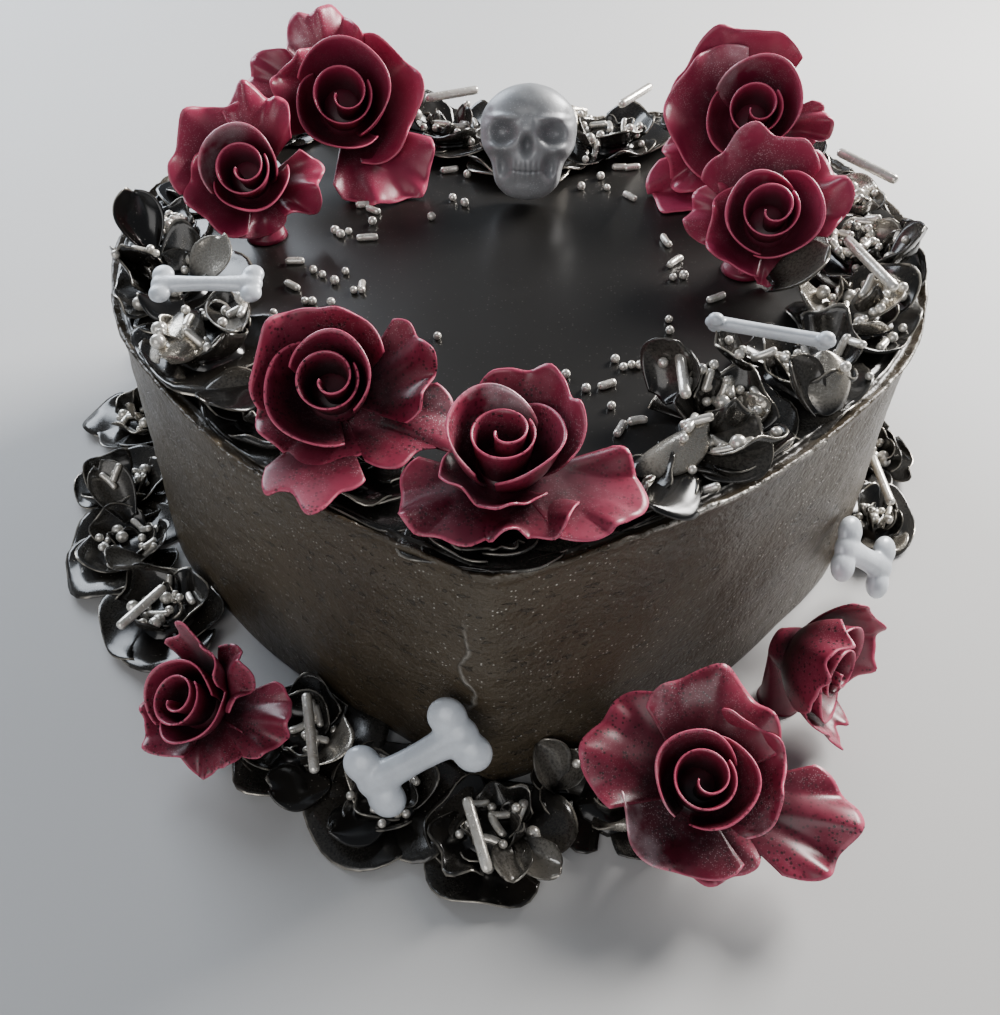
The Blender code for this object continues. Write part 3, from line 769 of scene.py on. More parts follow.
@dataclass
class HeartOutline:
    """The heart seen from above: lobe, cheek and side arcs, a blunt point and a rounded notch."""

    lobe_x: float = 47.5
    lobe_y: float = 50.5
    lobe_radius: float = 58.0
    lobe_start: float = math.radians(33.0)
    cheek_radius: float = 102.0
    cheek_start: float = math.radians(-38.5)
    side_radius: float = 210.0
    point_radius: float = 12.0
    notch_radius: float = 9.0
    least_point: float = 1.5
    least_notch: float = 2.0
    # The point leans to the right: how far, how far in front of the middle, and over what reach
    point_shift: float = 2.4
    point_front: float = 98.6
    point_reach: float = 26.0
    # The left cheek leans out at the foot: how far, its middle and its width as shares of the outline
    flare_size: float = 4.5
    flare_middle: float = -0.45
    flare_width: float = 0.22
    waver_size: float = 0.55
    # Waves in and out: number round the half outline, drift with the height, start, share of the size
    wavers: tuple = ((5, 0.05, 0.0, 1.0), (11, -0.08, 1.3, 0.6))

    def half(self, offset: float) -> list:
        """Arcs of the right half, from the point to the notch.

        Args:
            offset: Distance out from the outline.

        Returns:
            For each arc its centre, radius, start, end and side.
        """
        lobe = (self.lobe_x, self.lobe_y)
        cheek = back_along(lobe, self.lobe_start, self.cheek_radius - self.lobe_radius)
        side = back_along(cheek, self.cheek_start, self.side_radius - self.cheek_radius)
        point_r = max(self.point_radius + offset, self.least_point)
        notch_r = max(self.notch_radius - offset, self.least_notch)
        point_y = side[1] - math.sqrt((self.side_radius + offset - point_r) ** 2 - side[0] ** 2)
        notch_y = self.lobe_y + math.sqrt((self.lobe_radius + offset + notch_r) ** 2 - self.lobe_x**2)
        low = math.atan2(point_y - side[1], -side[0])
        high = math.atan2(notch_y - self.lobe_y, -self.lobe_x)
        return [
            ((0.0, point_y), point_r, -math.pi / 2, low, 1),
            (side, self.side_radius + offset, low, self.cheek_start, 1),
            (cheek, self.cheek_radius + offset, self.cheek_start, self.lobe_start, 1),
            (lobe, self.lobe_radius + offset, self.lobe_start, high, 1),
            ((0.0, notch_y), notch_r, high - math.pi, -math.pi / 2, -1),
        ]

    def station(self, share: float, offset: float) -> tuple[Vector, Vector]:
        """Place and outward direction along the outline.

        Args:
            share: Share of the half outline, from the point; negative on the left.
            offset: Distance out from the outline.

        Returns:
            The place and the outward direction.
        """
        mirror = 1.0 if share >= 0 else -1.0
        arcs = self.half(offset)
        left = abs(share) * sum(radius * abs(end - start) for _, radius, start, end, _ in arcs)
        for centre, radius, start, end, side in arcs:
            length = radius * abs(end - start)
            if left <= length or side < 0:
                turn = start + (end - start) * min(1.0, left / length)
                out = Vector((mirror * side * math.cos(turn), side * math.sin(turn), 0.0))
                x = centre[0] + radius * math.cos(turn)
                y = centre[1] + radius * math.sin(turn)
                shift = self.point_shift * math.exp(-(((y + self.point_front) / self.point_reach) ** 2))
                return Vector((mirror * x + shift, y, 0.0)), out
            left -= length
        raise ValueError("share outside the outline")

    def ring(self, count: int) -> tuple[np.ndarray, np.ndarray, np.ndarray]:
        """Shares, places and outward directions of points round the heart.

        Args:
            count: Number of points.

        Returns:
            The shares, the places and the outward directions.
        """
        shares = [2.0 * i / count if i <= count / 2 else -2.0 * (count - i) / count for i in range(count)]
        spots = [self.station(share, 0.0) for share in shares]
        return (
            np.array(shares),
            np.array([spot[:2] for spot, _ in spots]),
            np.array([out[:2] for _, out in spots]),
        )

    def flare(self, share: np.ndarray | float, height: float) -> Any:
        """How far the left cheek leans out.

        Args:
            share: Share of the half outline, negative on the left.
            height: Height over the board.

        Returns:
            The distance out at each share.
        """
        near = np.exp(-(((share - self.flare_middle) / self.flare_width) ** 2))
        return self.flare_size * (1.0 - height / CAKE_TOP) * near

    def waver(self, share: np.ndarray, height: float) -> np.ndarray:
        """Uneven hand-spread icing: a small shift in and out.

        Args:
            share: Share of the half outline, negative on the left.
            height: Height over the board.

        Returns:
            The shift at each share.
        """
        turn = share * math.pi
        return self.waver_size * sum(
            size * np.sin(count * turn + drift * height + start) for count, drift, start, size in self.wavers
        )


@dataclass
class IcedHeart:
    """The cake's body: wavering side, a thin uneven lip, and a smooth top."""

    outline: HeartOutline
    around: int = 720
    side_rows: int = 46
    side_height: float = 76.5
    side_relief: float = 0.16
    foot_swell: float = 0.6
    head_swell: float = 0.5
    top_rows: int = 26
    top_relief: float = 0.10
    # Rough length of the outline, that the unevenness runs along
    around_length: float = 640.0
    # Unevenness of the lip: seed, length of the longest wave and size; of its height, and of its place
    ragged: tuple = ((21, 34.0, 0.55), (22, 9.0, 0.35))
    smeared: tuple = (23, 22.0, 0.27)
    # Silver dust on the lip: seed and longest wave; less on the left of the front, more on the right of it
    dusted: tuple = (24, 60.0)
    dust_left: float = 0.45
    dust_right: float = 0.35
    # Least height of the lip on the outside, and number of its last row there
    lip_foot: float = 60.0
    outer_rows: int = 7
    # The lip: distance out, height, how much the lip's unevenness lifts it, dust
    lip: tuple = (
        (0.5, 77.4, 0.0, 0.0),
        (0.8, 78.6, 0.1, 0.1),
        (1.3, 79.7, 0.3, 0.3),
        (1.75, 80.5, 0.7, 0.75),
        (1.75, 81.2, 1.0, 1.0),
        (1.35, 81.5, 1.0, 1.0),
        (0.9, 81.3, 0.9, 0.5),
        (0.2, 80.7, 0.6, 0.1),
        (-0.7, 80.3, 0.3, 0.0),
        (-1.3, 80.6, 0.6, 0.3),
        (-1.7, 81.0, 0.9, 0.95),
        (-2.1, 80.8, 0.8, 0.6),
        (-2.8, 80.3, 0.3, 0.0),
        (-3.8, 80.3, 0.3, 0.15),
        (-4.3, 80.5, 0.6, 0.7),
        (-4.9, 80.2, 0.3, 0.1),
        (-7.0, 80.0, 0.0, 0.0),
    )

    def __post_init__(self) -> None:
        """Lay out the ring of stations and how far each is along it."""
        self.shares, self.spots, self.outs = self.outline.ring(self.around)
        self.run = np.arange(self.around) / self.around * self.around_length

    def uneven(self, seed: int, size: float, across: float = 0.0) -> np.ndarray:
        """Random unevenness round the heart.

        Args:
            seed: Its seed.
            size: Length of its longest wave.
            across: Where it is read across the waves.

        Returns:
            About -1 to 1 at each station.
        """
        return ripple(self.run, np.full(self.around, across), seed, size)

    def row(self, offset: np.ndarray, height: np.ndarray | float) -> np.ndarray:
        """Points of one row round the heart.

        Args:
            offset: Distance out at each station.
            height: Height of each, or of all.

        Returns:
            The points.
        """
        heights = np.broadcast_to(height, self.around)
        return np.column_stack((self.spots + self.outs * offset[:, None], heights))

    def side_row(self, level: float) -> np.ndarray:
        """Points of one row of the side.

        Args:
            level: How high it lies, as a share of the side.

        Returns:
            The points.
        """
        height = self.side_height * level
        swell = self.foot_swell * (1.0 - level) ** 2 + self.head_swell * level**3
        offset = swell + self.outline.waver(self.shares, height) + self.outline.flare(self.shares, height)
        relief = ripple(self.run * 0.35, np.full(self.around, height * 1.9), 5, 18.0)
        return self.row(offset + self.side_relief * relief, height)

    def lip_row(self, number: int) -> tuple[np.ndarray, np.ndarray]:
        """One row of the lip.

        Args:
            number: Its number, from the outside in.

        Returns:
            Its points and tints.
        """
        offset, height, lift, dust = self.lip[number]
        ragged = sum(share * self.uneven(seed, size) for seed, size, share in self.ragged)
        shift = self.outline.waver(self.shares, height) * (1.0 if offset > 0 else 0.5)
        if number:
            seed, size, share = self.smeared
            shift = shift + share * self.uneven(seed, size, 40.0 * number)
        least = CAKE_TOP if number > self.outer_rows else self.lip_foot
        points = self.row(offset + shift, np.maximum(height + lift * (0.5 + ragged), least))
        fade = 0.6 + 0.4 * self.uneven(*self.dusted)
        fade = fade * (self.dust_left + (1.0 - self.dust_left) * smooth(0.04, 0.14, self.shares))
        fade = fade + self.dust_right * np.exp(-(((self.shares - 0.17) / 0.10) ** 2))
        tint = np.zeros((self.around, 3))
        tint[:, 0] = np.clip(dust * fade, 0.0, 1.0)
        tint[:, 1] = smooth(0.6, -2.0, np.array(offset))
        return points, tint

    def top_row(self, inner: np.ndarray, level: float) -> np.ndarray:
        """Points of one row of the top.

        Args:
            inner: The places of the lip's last row.
            level: How far in it lies, 1 in the middle.

        Returns:
            The points.
        """
        place = inner * (1.0 - level)
        relief = ripple(place[:, 0], place[:, 1] * 0.6, 31, 55.0)
        return np.column_stack((place, CAKE_TOP + self.top_relief * relief * math.sqrt(level)))

    def build(self, material: bpy.types.Material) -> Shape:
        """The body as one piece.

        Args:
            material: Its finish.

        Returns:
            The body's shape, to set other things on.
        """
        plain, glossy = np.zeros((self.around, 3)), np.tile((0.0, 1.0, 0.0), (self.around, 1))
        rows = [(self.side_row(level), plain) for level in np.linspace(0.0, 1.0, self.side_rows)]
        rows += [self.lip_row(number) for number in range(len(self.lip))]
        inner = rows[-1][0][:, :2]
        levels = np.linspace(0.0, 1.0, self.top_rows + 1)[1:-1]
        rows += [(self.top_row(inner, level), glossy) for level in levels]
        middles = np.array([[0.0, 0.0, CAKE_TOP], [0.0, 0.0, 0.0]])
        rows.append((middles, np.array([[0.0, 1.0, 0.0], [0.0, 0.0, 0.0]])))
        points = np.vstack([spots for spots, _ in rows])
        faces = strip_faces(len(rows) - 1, self.around, True)
        last = (len(rows) - 2) * self.around
        middle = len(points) - 2
        faces += fan(middle, last, self.around) + fan(middle + 1, 0, self.around, True)
        shape = Shape(points, faces, np.vstack([tints for _, tints in rows]))
        shape.make("iced_heart", material, Slot.ICING, ["cake"])
        return shape


@dataclass(frozen=True)
class PetalForm:
    """The run of a petal from root to lip, and how wavy it is."""

    root_radius: float
    root_height: float
    # How far out and how far up its middle is drawn, as shares of the way from root to lip
    belly: float
    rise: float
    curl: float
    wave: float
    waves: int
    frill: float


class PetalKind(Enum):
    """Rose petals, from the heart outwards."""

    CUP = PetalForm(4.6, 5.0, 0.95, 0.25, 0.6, 0.0, 1, 0.0)
    MIDDLE = PetalForm(4.8, 4.0, 0.90, 0.30, 1.4, 0.8, 2, 1.0)
    OPEN = PetalForm(4.8, 3.0, 0.60, 0.75, 2.0, 1.8, 2, 1.0)


@dataclass
class Petal:
    """One petal of a rose: direction and span in degrees, reach and height, shimmer, painted shade, waves."""

    kind: PetalKind
    angle: float
    span: float
    reach: float
    top: float
    dust: float = 0.15
    shade_share: float = 0.0
    wave: float | None = None
    phase: float | None = None

    def shape(self, seed: int, columns: int = 38, rows: int = 19) -> tuple[np.ndarray, np.ndarray]:
        """Grid of points in the rose's own frame and their tints.

        Args:
            seed: Seed of its waves.
            columns: Points round its angle.
            rows: Points from root to lip.

        Returns:
            The grid and the tints, columns by rows by 3.
        """
        form = self.kind.value
        wave = form.wave if self.wave is None else self.wave
        draw = random.Random(seed)
        phase = draw.uniform(0, 2 * math.pi)
        phase = phase if self.phase is None else self.phase
        lap = draw.uniform(0.9, 1.8)
        second = draw.uniform(0, 2 * math.pi)
        u = np.linspace(-1.0, 1.0, columns)[:, None]
        v = (np.linspace(0.0, 1.0, rows) ** 0.85)[None, :]
        t = v * (1.0 - 0.30 * np.abs(u) ** 2.6)
        belly_r = form.root_radius + form.belly * (self.reach - form.root_radius)
        belly_z = form.root_height + form.rise * (self.top - form.root_height)
        r = bow(t, form.root_radius, belly_r, self.reach) + lap * u * t
        z = bow(t, form.root_height, belly_z, self.top)
        lip = np.maximum(0.0, t - 0.6) / 0.4
        roll = np.maximum(0.0, t - 0.86) / 0.14
        r = r + 0.5 * form.curl * lip * lip + 0.45 * roll * roll
        r = r + (0.25 + 0.75 * form.frill) * 1.1 * t**3 * np.sin(2.3 * math.pi * u + second * 1.3)
        z = z + wave * t * t * np.sin(form.waves * math.pi * u + phase) - 0.5 * form.curl * lip * lip
        z = z + form.frill * 1.35 * t**3 * np.sin(3.1 * math.pi * u + second)
        z = z + form.frill * 0.5 * t**5 * np.sin(6.3 * math.pi * u + phase)
        turn = np.radians(self.angle + 0.5 * self.span * u)
        grid = np.stack((r * np.cos(turn), r * np.sin(turn), z), axis=2)
        tint = np.zeros(grid.shape)
        # The red runs to the lip and the side edges, where the painted highlight lies.
        tint[..., 0] = np.maximum(v, np.abs(u) ** 6 * (0.45 + 0.55 * v))
        patch = np.exp(-(((u - math.cos(phase)) / 0.7) ** 2)) * smooth(0.3, 0.8, v)
        tint[..., 1] = np.clip(self.dust * (0.35 + 1.3 * patch), 0.0, 1.0)
        # Painted shade in the blue: deep at the root of inner petals, and over petals given a shade share.
        heart = (0.55 if form.frill else 1.0) * (1.0 - smooth(0.30, 0.92, v))
        tint[..., 2] = np.clip(np.maximum(self.shade_share * (1.0 - 0.35 * v), heart), 0.0, 1.0)
        return grid, tint


@dataclass
class Rose:
    """A rose of rolled paste: a coiled heart, cupped petals round it and open petals outside.

    lean and toward say in degrees how far it leans and which way; foot is the place where it stands.
    """

    name: str
    eye: tuple
    lean: float
    toward: float
    scale: float
    foot: tuple
    petals: list = field(default_factory=list)
    eye_height: float = 18.0
    thickness: float = 0.66
    rim: float = 0.55
    # Height that it rests at on the piping, and how far the piping reaches in from the outline
    rest: float = 6.0
    band: float = 27.0
    blend: float = 8.0
    clearance: float = 0.5
    lap: float = 0.06
    # Radius and height of the rings of its foot and of the solid under its petals
    foot_rings: tuple = ((6.0, 0.0), (5.4, 1.2))
    core_rings: tuple = ((4.0, -0.5), (4.9, 1.2), (6.0, 3.6), (6.2, 5.6), (5.4, 7.4), (3.0, 8.1), (0.3, 8.3))

    @property
    def on_cake(self) -> bool:
        """Whether it lies on the cake, not beside it."""
        return self.eye[2] > CAKE_TOP

    @property
    def seed(self) -> int:
        """Seed of its petals' waves."""
        return len(self.name)

    def place(self) -> Matrix:
        """The rose's own frame.

        Returns:
            The matrix from that frame to the cake's.
        """
        way = math.radians(self.toward)
        axis = Vector((-math.sin(way), math.cos(way), 0.0))
        turn = Matrix.Rotation(math.radians(self.lean), 4, axis)
        origin = Vector(self.eye) - (turn @ Vector((0.0, 0.0, 1.0))) * self.eye_height * self.scale
        return Matrix.Translation(origin) @ turn

    def lowest(self, spots: np.ndarray, heart: np.ndarray) -> np.ndarray:
        """Lowest height of a petal at each place: on the piping over the band, else on the icing.

        Args:
            spots: The places.
            heart: Points of the heart's outline.

        Returns:
            The height at each place.
        """
        lift = self.clearance + self.thickness
        if not self.on_cake:
            return np.full(len(spots), lift)
        ways = spots[:, None, :2] - heart[None, :, :]
        gaps = np.hypot(ways[..., 0], ways[..., 1]).min(axis=1)
        share = np.clip((gaps - self.band) / self.blend + 0.5, 0.0, 1.0)
        return CAKE_TOP + lift + (1.0 - share) * self.rest

    def coil(self, turns: float = 1.55, steps: int = 80, rows: int = 14) -> tuple[np.ndarray, np.ndarray]:
        """Grid and tints of the coiled strip in the heart of the rose.

        Args:
            turns: How often it winds.
            steps: Points along it.
            rows: Points up it.

        Returns:
            The grid and the tints.
        """
        share = np.linspace(0.0, 1.0, steps)[:, None]
        v = np.linspace(0.0, 1.0, rows)[None, :]
        first, inner, outer, root, drop = math.radians(200.0), 1.2, 5.1, 6.0, 1.2
        turn = first + 2 * math.pi * turns * share
        spread = inner + outer * (1.0 - (1.0 - share) ** 3.2)
        radius = spread * (0.72 + 0.28 * v**0.7) + 0.25 * np.maximum(0.0, v - 0.85) / 0.15
        height = root + (self.eye_height - root - drop * share) * v + 0.25 * np.sin(7.0 * share) * v
        grid = np.stack((radius * np.cos(turn), radius * np.sin(turn), height), axis=2)
        tint = np.zeros(grid.shape)
        # Red to the top edge for the painted highlight, blue for painted shade low in the coil.
        tint[..., 0] = v**1.3
        tint[..., 1] = 0.10
        tint[..., 2] = 1.0 - smooth(0.40, 0.96, v)
        return grid, tint

    def core(self, sides: int = 32) -> Shape:
        """The solid under the petals and the foot that carries it.

        Args:
            sides: Points round it.

        Returns:
            Its shape.
        """
        place = self.place()
        base_z = CAKE_TOP + GAP if self.on_cake else 0.0
        turns = np.linspace(0.0, 2 * math.pi, sides, endpoint=False)
        ring = [Vector((math.cos(turn), math.sin(turn), 0.0)) for turn in turns]
        up = Vector((0.0, 0.0, 1.0))
        foot = Vector((*self.foot, base_z))
        points = [foot + radius * way + height * up for radius, height in self.foot_rings for way in ring]
        for radius, height in self.core_rings:
            points += [place @ ((radius * way + height * up) * self.scale) for way in ring]
        tint = np.zeros((len(points), 3))
        # Low lip shares paint the core, and less its foot, in the painted shade.
        tint[:, 0] = 0.3
        tint[: 4 * sides, 0] = 0.6
        return Shape(np.array(points), capped_faces(len(points) // sides, sides), tint)

    def build(self, material: bpy.types.Material, heart: np.ndarray) -> Shape:
        """The rose as one piece.

        Args:
            material: Its finish.
            heart: Points of the heart's outline.

        Returns:
            Its shape.
        """
        matrix = np.array(self.place())
        sheets = [self.coil()]
        sheets += [petal.shape(7 * number + self.seed) for number, petal in enumerate(self.petals)]
        shapes = [self.core()]
        for grid, tint in sheets:
            flat = grid.reshape(-1, 3) * self.scale
            world = flat @ matrix[:3, :3].T + matrix[:3, 3]
            # Each petal may lie a little lower than the one before it, so that no two rest at one height
            least = self.lowest(world, heart) - self.lap * len(shapes)
            world[:, 2] = np.maximum(world[:, 2], least)
            shapes.append(thin_sheet(world.reshape(grid.shape), self.thickness, tint, self.rim))
        shape = Shape.join(shapes)
        shape.make(self.name + "_petals", material, Slot.ROSE, [self.name])
        return shape


@dataclass
class Curl:
    """A broad sheet of piped icing, cupped or arched across its run and bent along it."""

    start: tuple
    end: tuple
    width: float
    cup: float
    bend: float
    dust: float
    thickness: float = 0.7

    def shape(self, draw: random.Random, rows: int = 22, columns: int = 17) -> Shape:
        """The sheet.

        Args:
            draw: Source of its unevenness.
            rows: Points along it.
            columns: Points across it.

        Returns:
            Its shape.
        """
        v = np.linspace(0.0, 1.0, rows)[:, None]
        u = np.linspace(-1.0, 1.0, columns)[None, :]
        run = Vector(self.end) - Vector(self.start)
        ahead = run.normalized()
        side = ahead.cross(Vector((0.0, 0.0, 1.0))).normalized()
        up = side.cross(ahead)
        # It widens over its first part and rounds off over its last
        widen = 0.35 + 0.65 * np.sin(0.5 * math.pi * np.minimum(1.0, v / 0.6))
        tip = np.sqrt(np.maximum(0.05, 1.0 - np.maximum(0.0, (v - 0.55) / 0.45) ** 2))
        half = 0.62 * self.width * widen * tip
        phase = draw.uniform(0, 2 * math.pi)
        wave = self.width * (0.09 * v * np.sin(2.6 * u + phase) + 0.04 * np.sin(4 * v + phase))
        lift = 0.75 * self.cup * half * u * u + self.bend * run.length * v * v + wave
        along = run.length * (v + 0.03 * np.sin(3.0 * u + phase))
        across = half * u * (1.0 - 0.18 * abs(self.cup) * u * u)
        grid = np.array(self.start) + sum(
            np.array(way) * far[..., None] for way, far in ((ahead, along), (side, across), (up, lift))
        )
        tint = np.zeros(grid.shape)
        # The red runs to the lip and the side edges, where the painted highlight lies.
        tint[..., 0] = np.maximum(v, np.abs(u) * (0.9 + 0.1 * v))
        tint[..., 1] = np.clip(self.dust * 1.3 * smooth(0.05, 0.45, v) * (1.0 - 0.5 * u * u), 0.0, 1.0)
        return thin_sheet(grid, self.thickness, tint, PIPED_RIM)


@dataclass
class PipedFlower:
    """A piped flower: wide cupped petals round a sunken eye, over a skirt of flat ones."""

    name: str
    node: str
    middle: Vector
    out: Vector
    size: tuple
    height: float
    seed: int
    base_z: float
    dust: float = 0.3
    skirts: int = 4
    cups: int = 3
    inner_cups: int = 3
    twist: float = 0.35
    root: float = 0.20
    thickness: float = 0.75
    least: float = 0.35
    curls: list = field(default_factory=list)

    def at(self, x: Any, y: Any) -> tuple[Any, Any]:
        """A place of the cake, from one along the border and out of it."""
        along, out = (-self.out.y, self.out.x), (self.out.x, self.out.y)
        return self.middle.x + along[0] * x + out[0] * y, self.middle.y + along[1] * x + out[1] * y

    def sheet(
        self, angle: float, span: float, reach: float, foot: float, top: float, draw: random.Random
    ) -> Shape:
        """One petal.

        Args:
            angle: Its direction, in radians from the run of the border.
            span: The angle that it covers.
            reach: Its reach as a share of the flower's size.
            foot: Height of its root.
            top: Height of its lip.
            draw: Source of its unevenness.

        Returns:
            Its shape.
        """
        u = np.linspace(-1.0, 1.0, 17)[:, None]
        v = (np.linspace(0.0, 1.0, 11) ** 0.9)[None, :]
        t = v * (1.0 - draw.uniform(0.22, 0.45) * np.abs(u + draw.uniform(-0.25, 0.25)) ** 2.2)
        r = bow(t, self.root, self.root + draw.uniform(0.80, 1.05) * (reach - self.root), reach)
        z = bow(t, foot, foot + draw.uniform(0.05, 0.30) * (top - foot), top)
        phase = draw.uniform(0, 2 * math.pi)
        waves = draw.uniform(1.1, 2.5)
        wave = draw.uniform(0.03, 0.12)
        lip = np.maximum(0.0, t - 0.62) / 0.38
        curl = draw.uniform(-0.16, 0.20) * reach
        r = r + wave * t * t * np.sin(waves * math.pi * u + phase) + curl * lip * lip
        z = z + 0.10 * self.height * t * t * np.sin(1.6 * math.pi * u + phase * 1.4)
        z = z - 0.55 * abs(curl) * self.height * lip**3
        turn = angle + 0.5 * span * u + self.twist * t + draw.uniform(-0.3, 0.3) * t
        x = self.size[0] * r * np.cos(turn)
        y = self.size[1] * r * np.sin(turn)
        if self.base_z > 0:
            # On the rim a petal is pressed back softly where it would hang over the side
            room = 0.2 * self.size[1]
            over = np.maximum(0.0, y - 0.85 * self.size[1])
            y = y - over + room * (1.0 - np.exp(-over / room))
        grid = np.stack((*self.at(x, y), self.base_z + np.maximum(z, self.least)), axis=2)
        tint = np.zeros(grid.shape)
        # The red runs to the lip and the side edges, where the painted highlight lies.
        tint[..., 0] = np.maximum(v, np.abs(u) ** 8 * (0.4 + 0.6 * v))
        patch = smooth(0.15, 0.70, v) * np.exp(-(((u - 0.6 * math.cos(phase)) / 0.9) ** 2))
        frosted = draw.random() < self.dust and top > 0.5 * self.height
        tint[..., 1] = np.clip((1.4 if frosted else 0.05) * patch, 0.0, 1.0)
        return thin_sheet(grid, self.thickness, tint, PIPED_RIM)

    def build(self, material: bpy.types.Material) -> Shape:
        """The flower as one piece.

        Args:
            material: Its finish.

        Returns:
            Its shape.
        """
        draw = random.Random(self.seed)
        angle = draw.uniform(0, 2 * math.pi)
        self.twist *= draw.choice((-1.0, 1.0))
        shapes = []
        for _ in range(self.skirts):
            step = 2 * math.pi / self.skirts * draw.uniform(0.7, 1.3)
            angle += step
            skirt = angle + 0.5 * step + draw.uniform(-0.3, 0.3)
            reach = draw.uniform(1.10, 1.42)
            top = draw.uniform(0.12, 0.40) * self.height
            shapes.append(self.sheet(skirt, 1.30 * step, reach, 0.1, top, draw))
        for _ in range(self.cups):
            angle += draw.uniform(1.5, 2.6)
            reach = draw.uniform(0.72, 1.05)
            top = self.height * draw.uniform(0.55, 1.0)
            shapes.append(self.sheet(angle, draw.uniform(1.5, 2.5), reach, 0.3, top, draw))
        for k in range(self.inner_cups):
            inner = angle + 2.1 * k + draw.uniform(-0.6, 0.6)
            top = self.height * draw.uniform(0.45, 0.95)
            shapes.append(self.sheet(inner, draw.uniform(1.2, 2.8), draw.uniform(0.30, 0.68), 0.8, top, draw))
        shapes.append(self.eye(draw))
        shapes += [curl.shape(draw) for curl in self.curls]
        shape = Shape.join(shapes)
        shape.make(self.name, material, Slot.PIPING, [self.node])
        return shape

    def eye(self, draw: random.Random, sides: int = 24) -> Shape:
        """The low mound in the flower's middle, closed below.

        Args:
            draw: Source of its unevenness.
            sides: Points round it.

        Returns:
            Its shape.
        """
        phase = draw.uniform(0, 2 * math.pi)
        turn = np.linspace(0.0, 2 * math.pi, sides, endpoint=False)
        rings = []
        for reach, level in ((0.66, 0.0), (0.62, 0.10), (0.45, 0.22), (0.22, 0.28), (0.02, 0.30)):
            ragged = reach * (1.0 + 0.07 * np.sin(5 * turn + phase))
            x, y = self.at(self.size[0] * ragged * np.cos(turn), self.size[1] * ragged * np.sin(turn))
            rings.append(np.column_stack((x, y, np.full(sides, self.base_z + self.height * level))))
        points = np.vstack(rings)
        return Shape(points, capped_faces(len(rings), sides), np.zeros(points.shape))


@dataclass
class PipedBorder:
    """Piped flowers along the rim and round the foot, numbered from the point: below 0 on the left."""

    outline: HeartOutline
    reach: float = 14.6
    rim_height: float = 14.0
    rim_inset: float = 15.0
    rim_seed: int = 40
    rim_left: int = 9
    rim_stations: float = 10.0
    # Where roses lie on them: the flowers' reach across, inset and heights
    low_reach: float = 9.6
    low_inset: float = 10.5
    rim_low: dict = field(
        default_factory=lambda: {
            -8: 9.0, -7: 8.0, -5: 6.0, -2: 5.0, -1: 5.0, 0: 5.0, 1: 5.5, 6: 8.0, 7: 9.0, 8: 10.0
        }
    )
    foot_height: float = 11.0
    foot_outset: float = 14.8
    foot_seed: int = 90
    foot_side: int = 11
    foot_stations: float = 11.5
    foot_air: float = 1.5
    narrow_outset: float = 9.8
    narrow_after: int = 3
    foot_gaps: tuple = (2, 3, 4)
    foot_shifts: dict = field(
        default_factory=lambda: {-4: -0.22, -3: -0.34, -2: 0.38, -1: 0.24, 0: 0.10, 1: -0.04}
    )
    # Share of the petals that are frosted: rim on the right, rim on the left, foot
    frosted: tuple = (0.22, 0.12, 0.16)

    def rim(self) -> list[PipedFlower]:
        """The flowers on the rim, low and narrow ones under the roses.

        Returns:
            The flowers, from the left of the notch round to it.
        """
        flowers = []
        for number in range(-self.rim_left, self.rim_left + 2):
            low = number in self.rim_low
            inset = self.low_inset if low else self.rim_inset
            middle, out = self.outline.station(number / self.rim_stations, -inset)
            label = number + self.rim_left
            flowers.append(
                PipedFlower(
                    f"rim_piping_{label:02d}", f"rim_flower_{label:02d}", middle, out,
                    size=(self.reach, self.low_reach if low else self.reach),
                    height=self.rim_low.get(number, self.rim_height),
                    seed=self.rim_seed + number,
                    base_z=CAKE_TOP + GAP,
                    dust=self.frosted[0 if number > 0 else 1],
                )
            )
        return flowers

    def foot(self) -> list[PipedFlower]:
        """The flowers on the board, narrower on the right cheek.

        Returns:
            The flowers, from the left of the notch round to it.
        """
        flowers = []
        for number in range(-self.foot_side, self.foot_side + 1):
            if number in self.foot_gaps:
                continue
            share = (number + self.foot_shifts.get(number, 0.0)) / self.foot_stations
            clear = self.narrow_outset if number > self.narrow_after else self.foot_outset
            clear += self.outline.waver_size
            outset = clear + float(self.outline.flare(share, 0.0))
            middle, out = self.outline.station(share, outset)
            label = number + self.foot_side
            flowers.append(
                PipedFlower(
                    f"foot_piping_{label:02d}", f"foot_flower_{label:02d}", middle, out,
                    size=(self.reach, clear - self.foot_air),
                    height=self.foot_height,
                    seed=self.foot_seed + number,
                    base_z=0.0,
                    dust=self.frosted[2],
                )
            )
        return flowers


